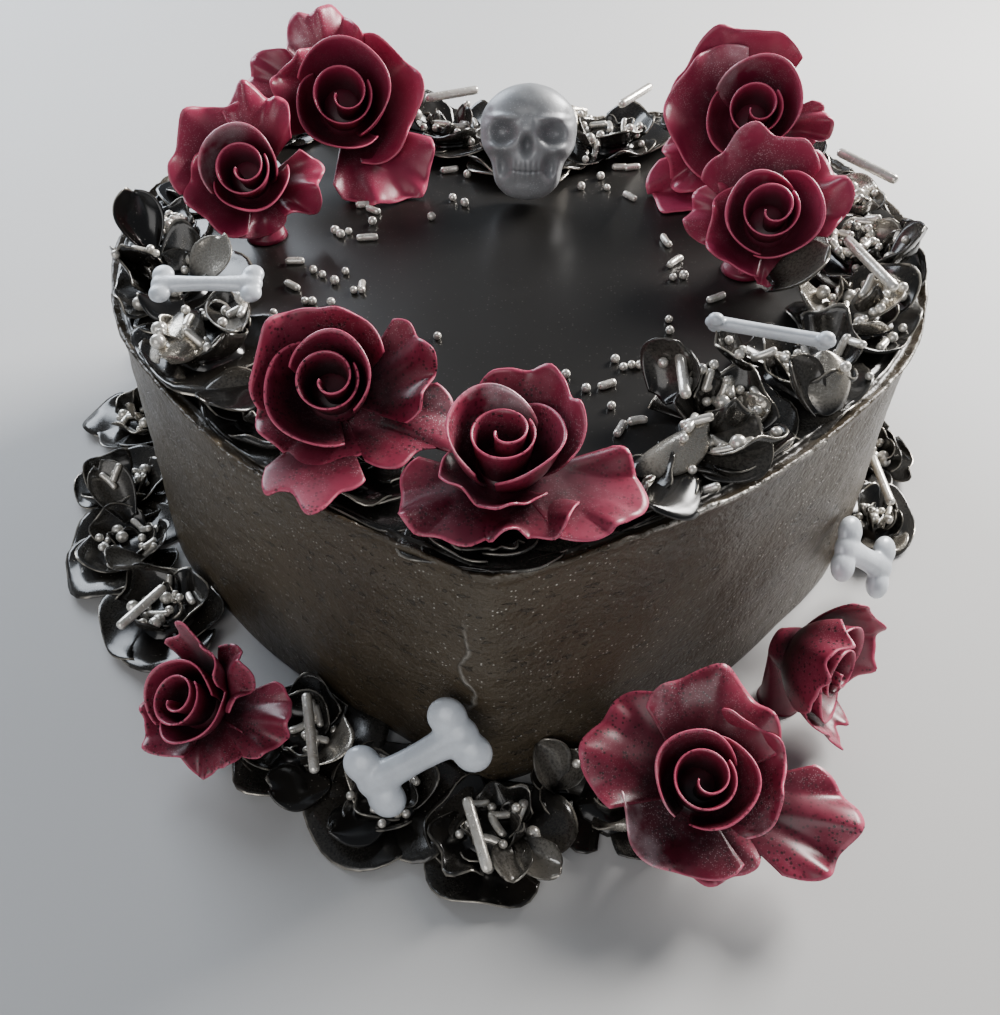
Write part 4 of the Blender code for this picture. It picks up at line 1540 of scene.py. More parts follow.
@dataclass
class Skull:
    """A small moulded skull leaning back on the piping, its face toward the front."""

    size: tuple = (14.3, 9.5, 16.2)
    spot: tuple = (1.5, 51.5, 97.0)
    lean: float = 22.0
    around: int = 190
    rows: int = 150
    # How far the flat back lies behind the middle, as a share of its depth
    back: float = 0.30
    # The row of teeth: height of its middle, of the gap between the rows, and width of a tooth
    mouth_height: float = -0.43
    gap_height: float = -0.44
    tooth: float = 0.115
    # Height from chin to crown, and half width there
    widths: tuple = (
        (-1.0, 0.0), (-0.96, 0.34), (-0.86, 0.52), (-0.72, 0.66), (-0.55, 0.71), (-0.38, 0.73),
        (-0.24, 0.82), (-0.12, 0.94), (0.0, 0.97), (0.3, 1.0), (0.5, 0.95), (0.7, 0.80), (0.86, 0.58),
        (0.96, 0.31), (1.0, 0.0),
    )
    # Relief of the face: side, height, width, tall, depth, painted shade of a hollow
    marks: tuple = (
        (0.50, 0.18, 0.38, 0.29, 0.22, 0.0),
        (0.50, 0.18, 0.25, 0.19, -0.62, 0.75),
        (0.50, 0.44, 0.30, 0.06, 0.10, 0.0),
        (0.00, -0.02, 0.11, 0.16, -0.34, 0.8),
        (0.00, 0.30, 0.12, 0.16, 0.10, 0.0),
        (0.72, -0.10, 0.20, 0.10, 0.20, 0.0),
        (0.47, -0.38, 0.12, 0.18, -0.34, 0.5),
        (0.66, -0.50, 0.10, 0.22, 0.16, 0.0),
        (0.00, -0.42, 0.34, 0.26, 0.16, 0.0),
        (0.00, -0.84, 0.30, 0.14, 0.12, 0.0),
        (0.86, 0.48, 0.14, 0.16, -0.16, 0.3),
        (0.30, 0.66, 0.34, 0.24, 0.08, 0.0),
    )

    def face(self, x: np.ndarray, z: np.ndarray) -> tuple[np.ndarray, np.ndarray]:
        """Relief of the face.

        Args:
            x: Places from side to side, -1 to 1.
            z: Heights, -1 to 1.

        Returns:
            How far each place stands out, and how much painted shade darkens its hollow.
        """
        relief = np.zeros(x.shape)
        hollow_shade = np.zeros(x.shape)
        for side, height, wide, tall, push, shade_share in self.marks:
            for mirror in (1, -1) if side else (1,):
                far = ((x - mirror * side) / wide) ** 2 + ((z - height) / tall) ** 2
                near = np.exp(-(far**1.5))
                relief += push * near
                hollow_shade = np.maximum(hollow_shade, shade_share * near)
        # The mouth: teeth in relief, with painted shade between the teeth and along the gap.
        mouth = np.exp(-(((z - self.mouth_height) / 0.15) ** 4)) * np.exp(-((x / 0.36) ** 4))
        teeth = np.abs(np.sin(x * math.pi / self.tooth))
        gap = np.exp(-(((z - self.gap_height + 0.03 * np.cos(4 * x)) / 0.018) ** 2))
        relief += mouth * (0.05 * teeth - 0.03 - 0.07 * gap)
        return relief, np.maximum(hollow_shade, mouth * np.clip(0.55 * (1.0 - teeth) ** 2 + 0.6 * gap, 0.0, 1.0))

    def build(self, material: bpy.types.Material) -> Shape:
        """The skull as one piece.

        Args:
            material: Its finish.

        Returns:
            Its shape.
        """
        polar = np.linspace(0.0, math.pi, self.rows + 2)[1:-1][:, None]
        turn = np.linspace(0.0, 2 * math.pi, self.around, endpoint=False)[None, :]
        table = np.array(self.widths)
        width = np.interp(np.cos(polar[:, 0]), table[:, 0], table[:, 1])
        # The corners of the table are evened out over a few rows, and both ends drawn to a point
        spread = 5
        evened = np.ones(2 * spread + 1) / (2 * spread + 1)
        width = np.convolve(np.pad(width, spread, mode="edge"), evened, "valid")[:, None]
        width = width * np.minimum(1.0, np.sin(polar) * 7.0)
        x = width * np.sin(turn)
        z = np.broadcast_to(np.cos(polar), x.shape)
        depth = np.sin(polar) ** 0.62 * (0.86 + 0.14 * smooth(-0.6, 0.3, np.cos(polar)))
        y = -depth * np.sign(np.cos(turn)) * np.abs(np.cos(turn)) ** 0.8
        relief, hollow_shade = self.face(x, z)
        front = y < 0
        y = np.where(front, y * (1.0 + relief * smooth(0.0, 0.35, -y)), np.minimum(y, self.back))
        local = np.stack((self.size[0] * x, self.size[1] * y, self.size[2] * z), axis=2).reshape(-1, 3)
        local = np.vstack((local, ((0.0, 0.0, self.size[2]), (0.0, 0.0, -self.size[2]))))
        matrix = np.array(Matrix.Translation(self.spot) @ Matrix.Rotation(math.radians(-self.lean), 4, "X"))
        points = local @ matrix[:3, :3].T + matrix[:3, 3]
        count = self.around
        faces = [tuple(reversed(face)) for face in strip_faces(self.rows, count, True)]
        last = (self.rows - 1) * count
        top = len(points) - 2
        faces += fan(top, 0, count) + fan(top + 1, last, count, True)
        tint = np.zeros((len(points), 3))
        # Painted shade of the hollows, in the blue.
        tint[:-2, 2] = np.clip(hollow_shade * front, 0.0, 1.0).ravel()
        shape = Shape(points, faces, tint)
        shape.make("skull_cast", material, Slot.SKULL, ["skull"])
        return shape


@dataclass
class Bone:
    """A moulded bone with two knobs at each end; knob, shaft and flat are shares of its breadth."""

    node: str
    middle: tuple
    along: tuple
    across: tuple
    length: float
    breadth: float
    knob: float = 0.245
    shaft: float = 0.175
    shaft_flare: float = 0.06
    flat: float = 0.30
    shaft_balls: int = 17
    grid_steps: int = 84
    soften: float = 0.6
    soften_rounds: int = 12

    def balls(self) -> list:
        """The balls that it is melted from.

        Returns:
            Place along it, place across it and radius of each.
        """
        knob = self.knob * self.breadth
        reach = self.length / 2 - knob
        balls = [(sx * reach, sy * (0.5 * self.breadth - knob), knob) for sx in (-1, 1) for sy in (-1, 1)]
        for k in range(self.shaft_balls):
            share = 2 * k / (self.shaft_balls - 1) - 1
            balls.append((share * reach, 0.0, (self.shaft + self.shaft_flare * share**2) * self.breadth))
        return balls

    def melt(self, mesh: bpy.types.Mesh) -> bpy.types.Object:
        """Melt a mesh of balls into one smooth body.

        Args:
            mesh: The balls.

        Returns:
            The body.
        """
        piece = bpy.data.objects.new(mesh.name, mesh)
        bpy.context.scene.collection.objects.link(piece)
        melt = piece.modifiers.new("Melt", "REMESH")
        melt.mode = "VOXEL"
        melt.voxel_size = self.length / self.grid_steps
        soften = piece.modifiers.new("Soften", "SMOOTH")
        soften.factor = self.soften
        soften.iterations = self.soften_rounds
        state = bpy.context.evaluated_depsgraph_get()
        state.update()
        joined = bpy.data.meshes.new_from_object(piece.evaluated_get(state))
        piece.modifiers.clear()
        piece.data = joined
        joined.name = mesh.name
        return piece

    def build(self, material: bpy.types.Material) -> bpy.types.Object:
        """The bone as one piece.

        Args:
            material: Its finish.

        Returns:
            The piece.
        """
        half_thick = 0.5 * self.flat * self.breadth
        work = bmesh.new()
        for x, y, radius in self.balls():
            for vert in bmesh.ops.create_icosphere(work, subdivisions=3, radius=1.0)["verts"]:
                vert.co = Vector((x + radius * vert.co.x, y + radius * vert.co.y, half_thick * vert.co.z))
        mesh = bpy.data.meshes.new(self.node + "_cast")
        work.to_mesh(mesh)
        work.free()
        piece = self.melt(mesh)
        ahead = Vector(self.along).normalized()
        side = Vector(self.across)
        side = (side - ahead * side.dot(ahead)).normalized()
        basis = Matrix((ahead, side, ahead.cross(side))).transposed().to_4x4()
        joined = piece.data
        joined.transform(Matrix.Scale(MM, 4) @ Matrix.Translation(self.middle) @ basis)
        tint = joined.attributes.new("tint", "FLOAT_COLOR", "POINT")
        tint.data.foreach_set("color", np.tile((0.0, 0.0, 0.0, 1.0), len(joined.vertices)))
        joined.materials.clear()
        joined.materials.append(material)
        joined.shade_smooth()
        return declare(piece, [self.node])


@dataclass
class Sprinkles:
    """Silver rods and pearls, laid on whatever is below them."""

    ground: BVHTree
    # Number of the ground's faces that are icing: those come first in it
    icing_faces: int
    rod_radius: float = 1.02
    rod_columns: int = 10
    long_rod_radius: float = 1.35
    # How far their middles lie over the ground, in radii
    rod_lift: float = 0.85
    pearl_lift: float = 0.86
    pearl_columns: int = 12
    pearl_rows: int = 8
    drop_height: float = 140.0
    drop_over_flower: float = 45.0
    top_pearl_radii: tuple = (1.05, 1.15, 1.3)
    pearl_radii: tuple = (1.1, 1.15, 1.2, 1.35, 1.9)
    rods: list = field(default_factory=list)
    pearls: list = field(default_factory=list)
    long_rods: list = field(default_factory=list)

    def drop(self, x: float, y: float, top: float) -> tuple[Vector, Vector] | None:
        """Where something dropped at a place comes to lie, and the way that the ground faces.

        Args:
            x: Its place, from left to right.
            y: Its place, from front to back.
            top: Height that it is dropped from.

        Returns:
            The spot and the ground's direction, or None where no icing lies open below.
        """
        spot, normal, face, _ = self.ground.ray_cast(Vector((x, y, top)), Vector((0.0, 0.0, -1.0)))
        if spot is None or face >= self.icing_faces:
            return None
        return spot, normal if normal.z > 0 else -normal

    def closed(self, points: list, columns: int, rows: int) -> Shape:
        """A round body from a first point, rows of points and a last point.

        Args:
            points: The points.
            columns: Points in a row.
            rows: Number of rows.

        Returns:
            Its shape.
        """
        faces = fan(0, 1, columns)
        faces += [tuple(reversed(face)) for face in strip_faces(rows, columns, True, 1)]
        faces += fan(len(points) - 1, 1 + (rows - 1) * columns, columns, True)
        return Shape(np.array(points), faces, np.zeros((len(points), 3)))

    def ball(self, centre: Vector, radius: float) -> Shape:
        """A pearl.

        Args:
            centre: Its middle.
            radius: Its radius.

        Returns:
            Its shape.
        """
        points = [tuple(centre + Vector((0.0, 0.0, radius)))]
        for k in range(1, self.pearl_rows):
            polar = math.pi * k / self.pearl_rows
            wide, high = radius * math.sin(polar), radius * math.cos(polar)
            for j in range(self.pearl_columns):
                turn = 2 * math.pi * j / self.pearl_columns
                points.append(tuple(centre + Vector((wide * math.cos(turn), wide * math.sin(turn), high))))
        points.append(tuple(centre - Vector((0.0, 0.0, radius))))
        return self.closed(points, self.pearl_columns, self.pearl_rows - 1)

    def bar(self, start: Vector, end: Vector, radius: float, bend: float = 0.0) -> Shape:
        """A rod with rounded ends between two points.

        Args:
            start: One end.
            end: The other end.
            radius: Its radius.
            bend: How far its middle bows sideways.

        Returns:
            Its shape.
        """
        run = end - start
        ahead = run.normalized()
        side = ahead.cross(Vector((0.0, 0.0, 1.0)))
        side = side.normalized() if side.length > 1e-6 else Vector((1.0, 0.0, 0.0))
        up = side.cross(ahead)
        # Its ends: distance from the end in radii, width as a share; and how far the round tip stands out
        tip = ((0.0, 0.55), (0.25, 0.86), (0.8, 1.0))
        bulge = ahead * 0.12 * radius
        stations = [(near * radius, width) for near, width in tip]
        stations += [(share * run.length, 1.0) for share in (0.25, 0.5, 0.75)]
        stations += [(run.length - near * radius, width) for near, width in reversed(tip)]
        points = [tuple(start - bulge)]
        for along, width in stations:
            bow_out = bend * math.sin(math.pi * min(1.0, max(0.0, along / run.length)))
            for k in range(self.rod_columns):
                turn = 2 * math.pi * k / self.rod_columns
                spot = start + ahead * along + side * (bow_out + radius * width * math.cos(turn))
                points.append(tuple(spot + up * radius * width * math.sin(turn)))
        points.append(tuple(end + bulge))
        shape = self.closed(points, self.rod_columns, len(stations))
        shape.faces = [tuple(reversed(face)) for face in shape.faces]
        return shape

    def pearl(self, x: float, y: float, radius: float, top: float | None = None) -> None:
        """Lay a pearl, where icing lies open below.

        Args:
            x: Its place, from left to right.
            y: Its place, from front to back.
            radius: Its radius.
            top: Height that it is dropped from.
        """
        landed = self.drop(x, y, top or self.drop_height)
        if landed:
            spot, normal = landed
            up = (normal + Vector((0.0, 0.0, 1.0))).normalized()
            self.pearls.append(self.ball(spot + up * radius * self.pearl_lift, radius))

    def rod(
        self, x: float, y: float, heading: float, length: float, bend: float, top: float | None = None
    ) -> None:
        """Lay a short rod along a heading, where icing lies open below.

        Args:
            x: Its place, from left to right.
            y: Its place, from front to back.
            heading: The way that it lies, in radians.
            length: Its length.
            bend: How far its middle bows.
            top: Height that it is dropped from.
        """
        landed = self.drop(x, y, top or self.drop_height)
        if landed:
            spot, normal = landed
            way = Vector((math.cos(heading), math.sin(heading), 0.0))
            half = (way - normal * way.dot(normal)).normalized() * (length / 2)
            centre = spot + normal * self.rod_radius * self.rod_lift
            self.rods.append(self.bar(centre - half, centre + half, self.rod_radius, bend))

    def strew_top(self) -> None:
        """Lay the sprinkles of the smooth top, and the long rods."""
        draw = random.Random(TOP_SEED)
        for x, y in TOP_PEARLS:
            self.pearl(x, y, draw.choice(self.top_pearl_radii))
        for x, y, heading in TOP_RODS:
            self.rod(x, y, heading, draw.uniform(4.6, 6.2), draw.uniform(-0.3, 0.3))
        for start, end in LONG_RODS:
            self.long_rods.append(self.bar(Vector(start), Vector(end), self.long_rod_radius))

    def cluster(self, flower: PipedFlower, rods: int, pearls: int, spread: float, seed: int) -> None:
        """Strew sprinkles in and round a flower's eye.

        Args:
            flower: The flower.
            rods: Number of rods.
            pearls: Number of pearls.
            spread: How far they lie, as a share of the flower's size.
            seed: Seed of the places.
        """
        draw = random.Random(seed)
        reach = min(flower.size) * spread
        top = flower.base_z + self.drop_over_flower

        def spot() -> tuple[float, float]:
            """A place near the eye."""
            turn, far = draw.uniform(0, 2 * math.pi), reach * math.sqrt(draw.random())
            return flower.middle.x + far * math.cos(turn), flower.middle.y + far * math.sin(turn)

        for radius in sorted((draw.choice(self.pearl_radii) for _ in range(pearls)), reverse=True):
            self.pearl(*spot(), radius, top)
        for _ in range(rods):
            x, y = spot()
            self.rod(x, y, draw.uniform(0, math.pi), draw.uniform(4.8, 7.0), draw.uniform(-0.4, 0.4), top)

    def build(self, material: bpy.types.Material, hosts: list[str]) -> None:
        """Make the rods, the pearls and the long rods one piece each.

        Args:
            material: Their finish.
            hosts: The solids that they stand for.
        """
        for name, shapes in (
            ("silver_rods", self.rods),
            ("silver_pearls", self.pearls),
            ("silver_long_rods", self.long_rods),
        ):
            Shape.join(shapes).make(name, material, Slot.PIPING, hosts)


@dataclass(frozen=True)
class Lamp:
    """A square soft light: its place in millimetres, power in watts, side in metres and colour."""

    name: str
    spot: tuple
    power: float
    size: float
    colour: tuple

    def hang(self, target: Vector) -> None:
        """Hang it so that it looks at a target.

        Args:
            target: Where it looks, in metres.
        """
        data = bpy.data.lights.new(self.name, "AREA")
        data.energy = self.power
        data.size = self.size
        data.color = self.colour
        holder = bpy.data.objects.new(self.name, data)
        holder.location = Vector(self.spot) * MM
        holder.rotation_euler = (target - holder.location).to_track_quat("-Z", "Y").to_euler()
        bpy.context.scene.collection.objects.link(holder)


@dataclass
class Studio:
    """Pale floor, soft lights and the camera at the photo's angle."""

    eye: tuple = (14.3, -223.3, 226.3)
    yaw: float = 4.4
    pitch: float = 45.98
    lens: float = 34.1
    sensor: float = 36.0
    sky: tuple = (0.66, 0.71, 0.78)
    sky_strength: float = 0.22
    # The floor: half its side and how far it lies under the cake, in metres, and its two greys
    floor_reach: float = 6.0
    floor_drop: float = 0.0002
    floor_dark: tuple = (0.50, 0.50, 0.50)
    floor_light: tuple = (0.53, 0.53, 0.53)
    target: tuple = (0.0, 0.0, 50.0)
    lamps: tuple = (
        Lamp("window_right", (560.0, 480.0, 470.0), 21.0, 0.34, (1.0, 0.97, 0.93)),
        Lamp("sky_left", (-600.0, 620.0, 480.0), 11.0, 0.6, (0.84, 0.91, 1.0)),
        Lamp("fill_front", (-250.0, -800.0, 520.0), 3.4, 0.7, (1.0, 0.98, 0.96)),
    )

    def camera(self) -> None:
        """Set the camera."""
        data = bpy.data.cameras.new("camera")
        data.lens = self.lens
        data.sensor_width = self.sensor
        data.clip_start = 0.01
        data.clip_end = 20.0
        holder = bpy.data.objects.new("camera", data)
        holder.location = Vector(self.eye) * MM
        holder.rotation_euler = (math.pi / 2 - math.radians(self.pitch), 0.0, math.radians(self.yaw))
        bpy.context.scene.collection.objects.link(holder)
        bpy.context.scene.camera = holder

    def floor(self) -> None:
        """Lay the pale floor."""
        far = self.floor_reach
        mesh = bpy.data.meshes.new("floor")
        mesh.from_pydata([(-far, -far, 0), (far, -far, 0), (far, far, 0), (-far, far, 0)], [], [(0, 1, 2, 3)])
        b = Board("floor_look")
        tone = b.mix(b.step(b.noise(3.0, 2.0), 0.3, 0.7), self.floor_dark, self.floor_light)
        mesh.materials.append(b.finish(Base_Color=tone, Roughness=0.7))
        floor = bpy.data.objects.new("floor", mesh)
        floor.location.z = -self.floor_drop
        bpy.context.scene.collection.objects.link(floor)

    def build(self) -> None:
        """Sky, floor, lights and camera."""
        world = bpy.data.worlds.new("sky")
        world.use_nodes = True
        background = world.node_tree.nodes["Background"]
        background.inputs["Color"].default_value = (*self.sky, 1.0)
        background.inputs["Strength"].default_value = self.sky_strength
        bpy.context.scene.world = world
        self.floor()
        for lamp in self.lamps:
            lamp.hang(Vector(self.target) * MM)
        self.camera()


# The rear roses: paler painted shade and fewer specks.
REAR_ROSES = RoseFinish("rose_rear_look", (0.055, 0.0046, 0.0135), (0.330, 0.0270, 0.0760), specks_and_shade=0.22)
# Skull and bone paste: colour, pale tone, painted shade of hollows, metallic, roughness.
SKULL_PASTE = MouldedFinish(
    "skull_paste_look", (0.290, 0.300, 0.312), (0.400, 0.412, 0.430), (0.150, 0.155, 0.168), 0.18, 0.40
)
BONE_PASTE = MouldedFinish(
    "bone_paste_look", (0.58, 0.62, 0.67), (0.76, 0.81, 0.87), (0.3, 0.3, 0.3), 0.12, 0.34
)

CUP, MIDDLE, OPEN = PetalKind.CUP, PetalKind.MIDDLE, PetalKind.OPEN

# Points of the heart's outline that the roses' rest on the piping is measured from
HEART_POINTS = 240

# Roses: name, middle of the eye, lean, way that it leans, scale, place of the foot, and the petals, inner
# ones first: kind, direction, span, reach, height, shimmer, painted shade, and some with a wave and its phase
ROSES = [
    Rose(
        "rose_front_right", (3.8, -80.0, 100.0), 8.0, -88.0, 1.0, (3.5, -74.0),
        [
            Petal(CUP, 140, 205, 10.0, 21.0, 0.9, 0.15),
            Petal(CUP, 350, 170, 11.5, 17.5, 0.1, 0.35),
            Petal(MIDDLE, 50, 130, 16.5, 20.0, 0.25, 0.25),
            Petal(MIDDLE, 248, 140, 13.5, 13.0, 0.25, 0.6),
            Petal(OPEN, 340, 72, 28.5, 6.5, 0.3, 0.0, 2.8),
            Petal(OPEN, 222, 85, 23.0, 7.5, 0.25, 0.75, 2.6),
            Petal(MIDDLE, 290, 84, 19.5, 9.0, 0.4, 0.55, 3.4, 3.6),
        ],
    ),
    Rose(
        "rose_front_left", (-33.5, -69.5, 102.5), 34.0, -82.0, 1.0, (-32.0, -58.0),
        [
            Petal(CUP, 60, 205, 9.0, 19.5, 0.2, 0.0),
            Petal(CUP, 205, 170, 13.0, 15.0, 0.15, 0.05),
            Petal(MIDDLE, 122, 165, 16.0, 16.5, 0.25, 0.0),
            Petal(MIDDLE, 18, 76, 21.0, 14.0, 0.15, 0.35, 1.8, 0.0),
            Petal(OPEN, 335, 75, 27.0, 6.0, 0.5, 0.35, 3.0, 0.4),
            Petal(MIDDLE, 240, 125, 17.0, 9.0, 0.35, 0.25),
            Petal(OPEN, 268, 50, 33.0, 5.5, 0.35, 0.25, 2.6),
        ],
    ),
    Rose(
        "rose_back_left_low", (-73.5, 15.0, 105.0), 46.0, -80.0, 1.08, (-72.5, 22.0),
        [
            Petal(CUP, 110, 220, 9.5, 19.0, 0.8, 0.0),
            Petal(CUP, 290, 180, 10.0, 16.0, 0.1, 0.1),
            Petal(MIDDLE, 215, 120, 15.0, 11.0, 0.2, 0.05),
            Petal(MIDDLE, 140, 125, 18.5, 13.0, 0.2, 0.0),
            Petal(OPEN, 82, 70, 20.0, 13.0, 0.3, 0.0),
            Petal(OPEN, 358, 76, 17.5, 8.0, 0.1, 0.1, 3.0, 1.0),
            Petal(OPEN, 272, 110, 13.0, 5.0, 0.6, 0.1),
        ],
    ),
    Rose(
        "rose_back_left_high", (-53.5, 55.5, 108.5), 48.0, -76.0, 1.32, (-50.0, 63.0),
        [
            Petal(CUP, 55, 220, 10.5, 19.5, 0.2, 0.1),
            Petal(CUP, 235, 180, 10.5, 15.5, 0.3, 0.0),
            Petal(MIDDLE, 165, 110, 14.0, 14.0, 0.4, 0.3),
            Petal(MIDDLE, 10, 150, 16.5, 13.0, 0.2, 0.0),
            Petal(OPEN, 112, 66, 20.5, 11.0, 0.6, 0.0, 2.0, 0.6),
            Petal(OPEN, 170, 60, 22.0, 8.0, 0.3, 0.6),
            Petal(OPEN, 309, 78, 25.0, 13.0, 0.4, 0.0),
        ],
    ),
    Rose(
        "rose_back_right_high", (66.5, 55.5, 108.5), 46.0, -98.0, 1.15, (61.5, 63.0),
        [
            Petal(CUP, 40, 215, 11.0, 20.0, 0.6, 0.0),
            Petal(CUP, 215, 180, 12.0, 15.0, 0.2, 0.1),
            Petal(MIDDLE, 165, 140, 20.5, 15.0, 0.6, 0.1),
            Petal(MIDDLE, 115, 130, 21.5, 14.0, 0.1, 0.3),
            Petal(OPEN, 212, 64, 23.5, 8.0, 0.1, 0.3),
            Petal(OPEN, 228, 58, 33.5, 5.0, 0.1, 0.2),
            Petal(OPEN, 350, 55, 18.0, 9.0, 0.2, 0.5),
        ],
    ),
    Rose(
        "rose_back_right_low", (66.0, 6.5, 103.5), 42.0, -102.0, 1.08, (63.5, 14.0),
        [
            Petal(CUP, 150, 215, 9.5, 18.5, 0.5, 0.0),
            Petal(CUP, 340, 185, 11.5, 16.0, 0.1, 0.1),
            Petal(MIDDLE, 195, 130, 14.0, 12.5, 0.2, 0.0),
            Petal(MIDDLE, 95, 105, 19.5, 15.0, 0.5, 0.1, 1.6, 1.2),
            Petal(OPEN, 28, 95, 19.0, 9.0, 0.2, 0.1),
            Petal(OPEN, 165, 65, 18.5, 8.0, 0.2, 0.2),
            Petal(OPEN, 262, 76, 12.5, 4.0, 0.1, 0.0),
        ],
    ),
    Rose(
        "rose_foot_left", (-75.5, -100.0, 25.0), 30.0, -130.0, 0.98, (-69.0, -92.0),
        [
            Petal(CUP, 110, 205, 9.5, 18.0, 0.2, 0.1),
            Petal(CUP, 290, 180, 10.5, 15.0, 0.1, 0.0),
            Petal(MIDDLE, 200, 130, 14.0, 12.0, 0.2, 0.1),
            Petal(MIDDLE, 60, 100, 15.5, 24.0, 0.3, 0.1, 2.2, 0.5),
            Petal(OPEN, 20, 70, 19.0, 16.0, 0.2, 0.2, 3.2, 0.9),
            Petal(OPEN, 345, 60, 25.0, 5.0, 0.2, 0.3),
            Petal(OPEN, 285, 90, 16.5, 5.0, 0.2, 0.1),
        ],
    ),
    Rose(
        "rose_foot_right", (52.0, -114.0, 30.0), 16.0, -95.0, 1.08, (53.5, -108.0),
        [
            Petal(CUP, 130, 205, 9.5, 19.5, 0.7, 0.2),
            Petal(CUP, 345, 185, 10.5, 16.5, 0.3, 0.3),
            Petal(MIDDLE, 15, 130, 16.5, 16.0, 0.6, 0.1),
            Petal(MIDDLE, 230, 140, 18.0, 10.0, 1.0, 0.5),
            Petal(OPEN, 75, 105, 22.5, 16.0, 0.5, 0.0),
            Petal(OPEN, 152, 92, 24.5, 12.0, 0.2, 0.0, 2.2, 0.2),
            Petal(OPEN, 345, 60, 32.0, 7.0, 0.2, 0.0),
            Petal(OPEN, 285, 80, 18.0, 5.0, 0.9, 0.4),
        ],
    ),
    Rose(
        "rose_foot_bud", (90.5, -79.0, 23.0), 78.0, -38.0, 1.05, (79.5, -72.0),
        [
            Petal(CUP, 80, 210, 10.5, 17.5, 0.1, 0.0),
            Petal(CUP, 260, 190, 11.5, 18.5, 0.1, 0.0),
            Petal(MIDDLE, 180, 120, 15.0, 20.0, 0.1, 0.0),
            Petal(MIDDLE, 40, 120, 16.5, 19.0, 0.1, 0.0),
            Petal(MIDDLE, 290, 90, 15.5, 22.0, 0.2, 0.0),
        ],
    ),
]

# Bones: solid, middle, way along it, way across it, length, breadth
BONES = [
    Bone("bone_rim_left", (-70.6, -31.5, 98.5), (1.0, 0.08, 0.0), (-0.07, 0.95, 0.3), 27.0, 11.0),
    Bone("bone_rim_right", (60.8, -41.5, 99.0), (0.975, -0.22, 0.0), (0.1, 0.7, -0.7), 28.0, 11.0, 0.18),
    Bone("bone_foot_front", (-13.9, -111.2, 24.0), (0.787, 0.204, 0.582), (-0.58, 0.49, 0.65), 35.5, 20.0),
    Bone("bone_foot_right", (104.0, -35.7, 19.0), (0.67, 0.32, -0.67), (0.08, 0.73, 0.68), 31.5, 19.0),
]

# The broadest sheets seen in the piping: root, tip, width, how far it is cupped, how far it bends up, silver
CURLS = (
    Curl((-80.3, -13.4, 86.0), (-73.0, -3.9, 93.0), 13.0, 0.5, 0.25, 1.0),
    Curl((-78.2, -27.6, 88.0), (-78.8, -47.6, 90.0), 11.5, -0.45, -0.1, 1.0),
    Curl((-82.1, -20.5, 86.0), (-92.6, -24.3, 88.0), 12.0, -0.3, 0.1, 0.0),
    Curl((-73.3, -18.3, 85.0), (-60.2, -46.2, 92.0), 10.0, 0.8, 0.1, 0.1),
    Curl((-57.0, -49.5, 83.0), (-64.1, -63.4, 86.0), 12.0, -0.3, 0.15, 0.0),
    Curl((-99.8, 4.0, 85.0), (-106.0, 13.0, 96.0), 12.0, 0.7, 0.3, 0.0),
    Curl((-97.6, -3.4, 84.0), (-100.7, -13.6, 92.0), 12.0, 0.5, 0.25, 0.0),
    Curl((68.8, -1.2, 84.0), (82.9, -2.7, 94.0), 16.0, 0.55, 0.2, 0.3),
    Curl((86.0, -17.0, 85.0), (98.6, -8.0, 92.0), 9.0, 0.6, -0.1, 1.0),
    Curl((101.9, 10.4, 85.0), (110.1, 8.3, 95.0), 14.0, 0.6, 0.35, 0.1),
    Curl((58.7, -36.9, 84.0), (47.9, -39.2, 93.0), 14.0, 0.6, 0.2, 0.0),
    Curl((72.9, -51.5, 84.0), (64.3, -44.9, 94.0), 11.0, 0.8, 0.1, 0.1),
    Curl((76.7, -51.2, 84.0), (73.9, -42.6, 95.0), 13.0, -0.5, -0.25, 0.8),
    Curl((38.0, -48.9, 84.0), (44.1, -42.2, 93.0), 15.0, 0.7, 0.25, 0.1),
    Curl((31.1, -72.8, 84.0), (47.4, -62.5, 88.0), 9.0, -0.7, 0.0, 1.0),
    Curl((43.9, -69.8, 82.0), (32.5, -84.6, 84.0), 15.0, -0.25, 0.05, 0.0),
    Curl((46.1, -69.6, 82.0), (59.6, -60.6, 86.0), 15.0, -0.35, 0.1, 0.1),
    Curl((21.2, -71.5, 82.0), (16.3, -91.5, 84.0), 13.0, -0.3, 0.1, 0.0),
    Curl((-20.5, -111.9, 4.0), (-34.4, -123.0, 6.0), 12.0, -0.4, 0.1, 0.0),
    Curl((-37.7, -107.7, 4.0), (-51.7, -113.1, 7.0), 12.0, -0.4, 0.15, 0.0),
    Curl((11.1, -121.1, 4.0), (20.9, -130.1, 7.0), 9.0, 0.7, 0.1, 0.5),
    Curl((9.9, -119.9, 4.0), (9.5, -132.2, 7.0), 9.0, 0.7, 0.1, 0.2),
    Curl((20.3, -106.0, 4.0), (13.4, -98.8, 14.0), 10.0, 0.7, 0.1, 0.2),
    Curl((19.0, -104.7, 4.0), (27.3, -100.5, 10.0), 9.0, 0.6, 0.2, 0.2),
    Curl((-118.8, -23.6, 4.0), (-131.2, -9.9, 12.0), 12.0, 0.6, 0.2, 0.1),
    Curl((-107.0, -39.5, 4.0), (-113.5, -51.1, 10.0), 12.0, 0.5, 0.2, 0.2),
)

# Seeds of the sprinkles, and how far from a flower's eye they lie as shares of its size
TOP_SEED, RIM_SEED, FOOT_SEED = 5, 300, 400
RIM_SPREAD, FOOT_SPREAD = 0.85, 0.70

# Rods and pearls strewn on each flower at the foot, and on those of the rim, numbered from the left of the
# notch round to it
FOOT_STREWN = (6, 9)
RIM_STREWN = {
    0: (5, 6), 3: (4, 6), 4: (9, 10), 5: (5, 9), 6: (6, 12), 8: (1, 1), 11: (13, 22), 12: (6, 12),
    13: (11, 16), 14: (14, 22), 15: (10, 14), 16: (5, 8), 17: (5, 8), 18: (7, 8), 19: (8, 10),
}

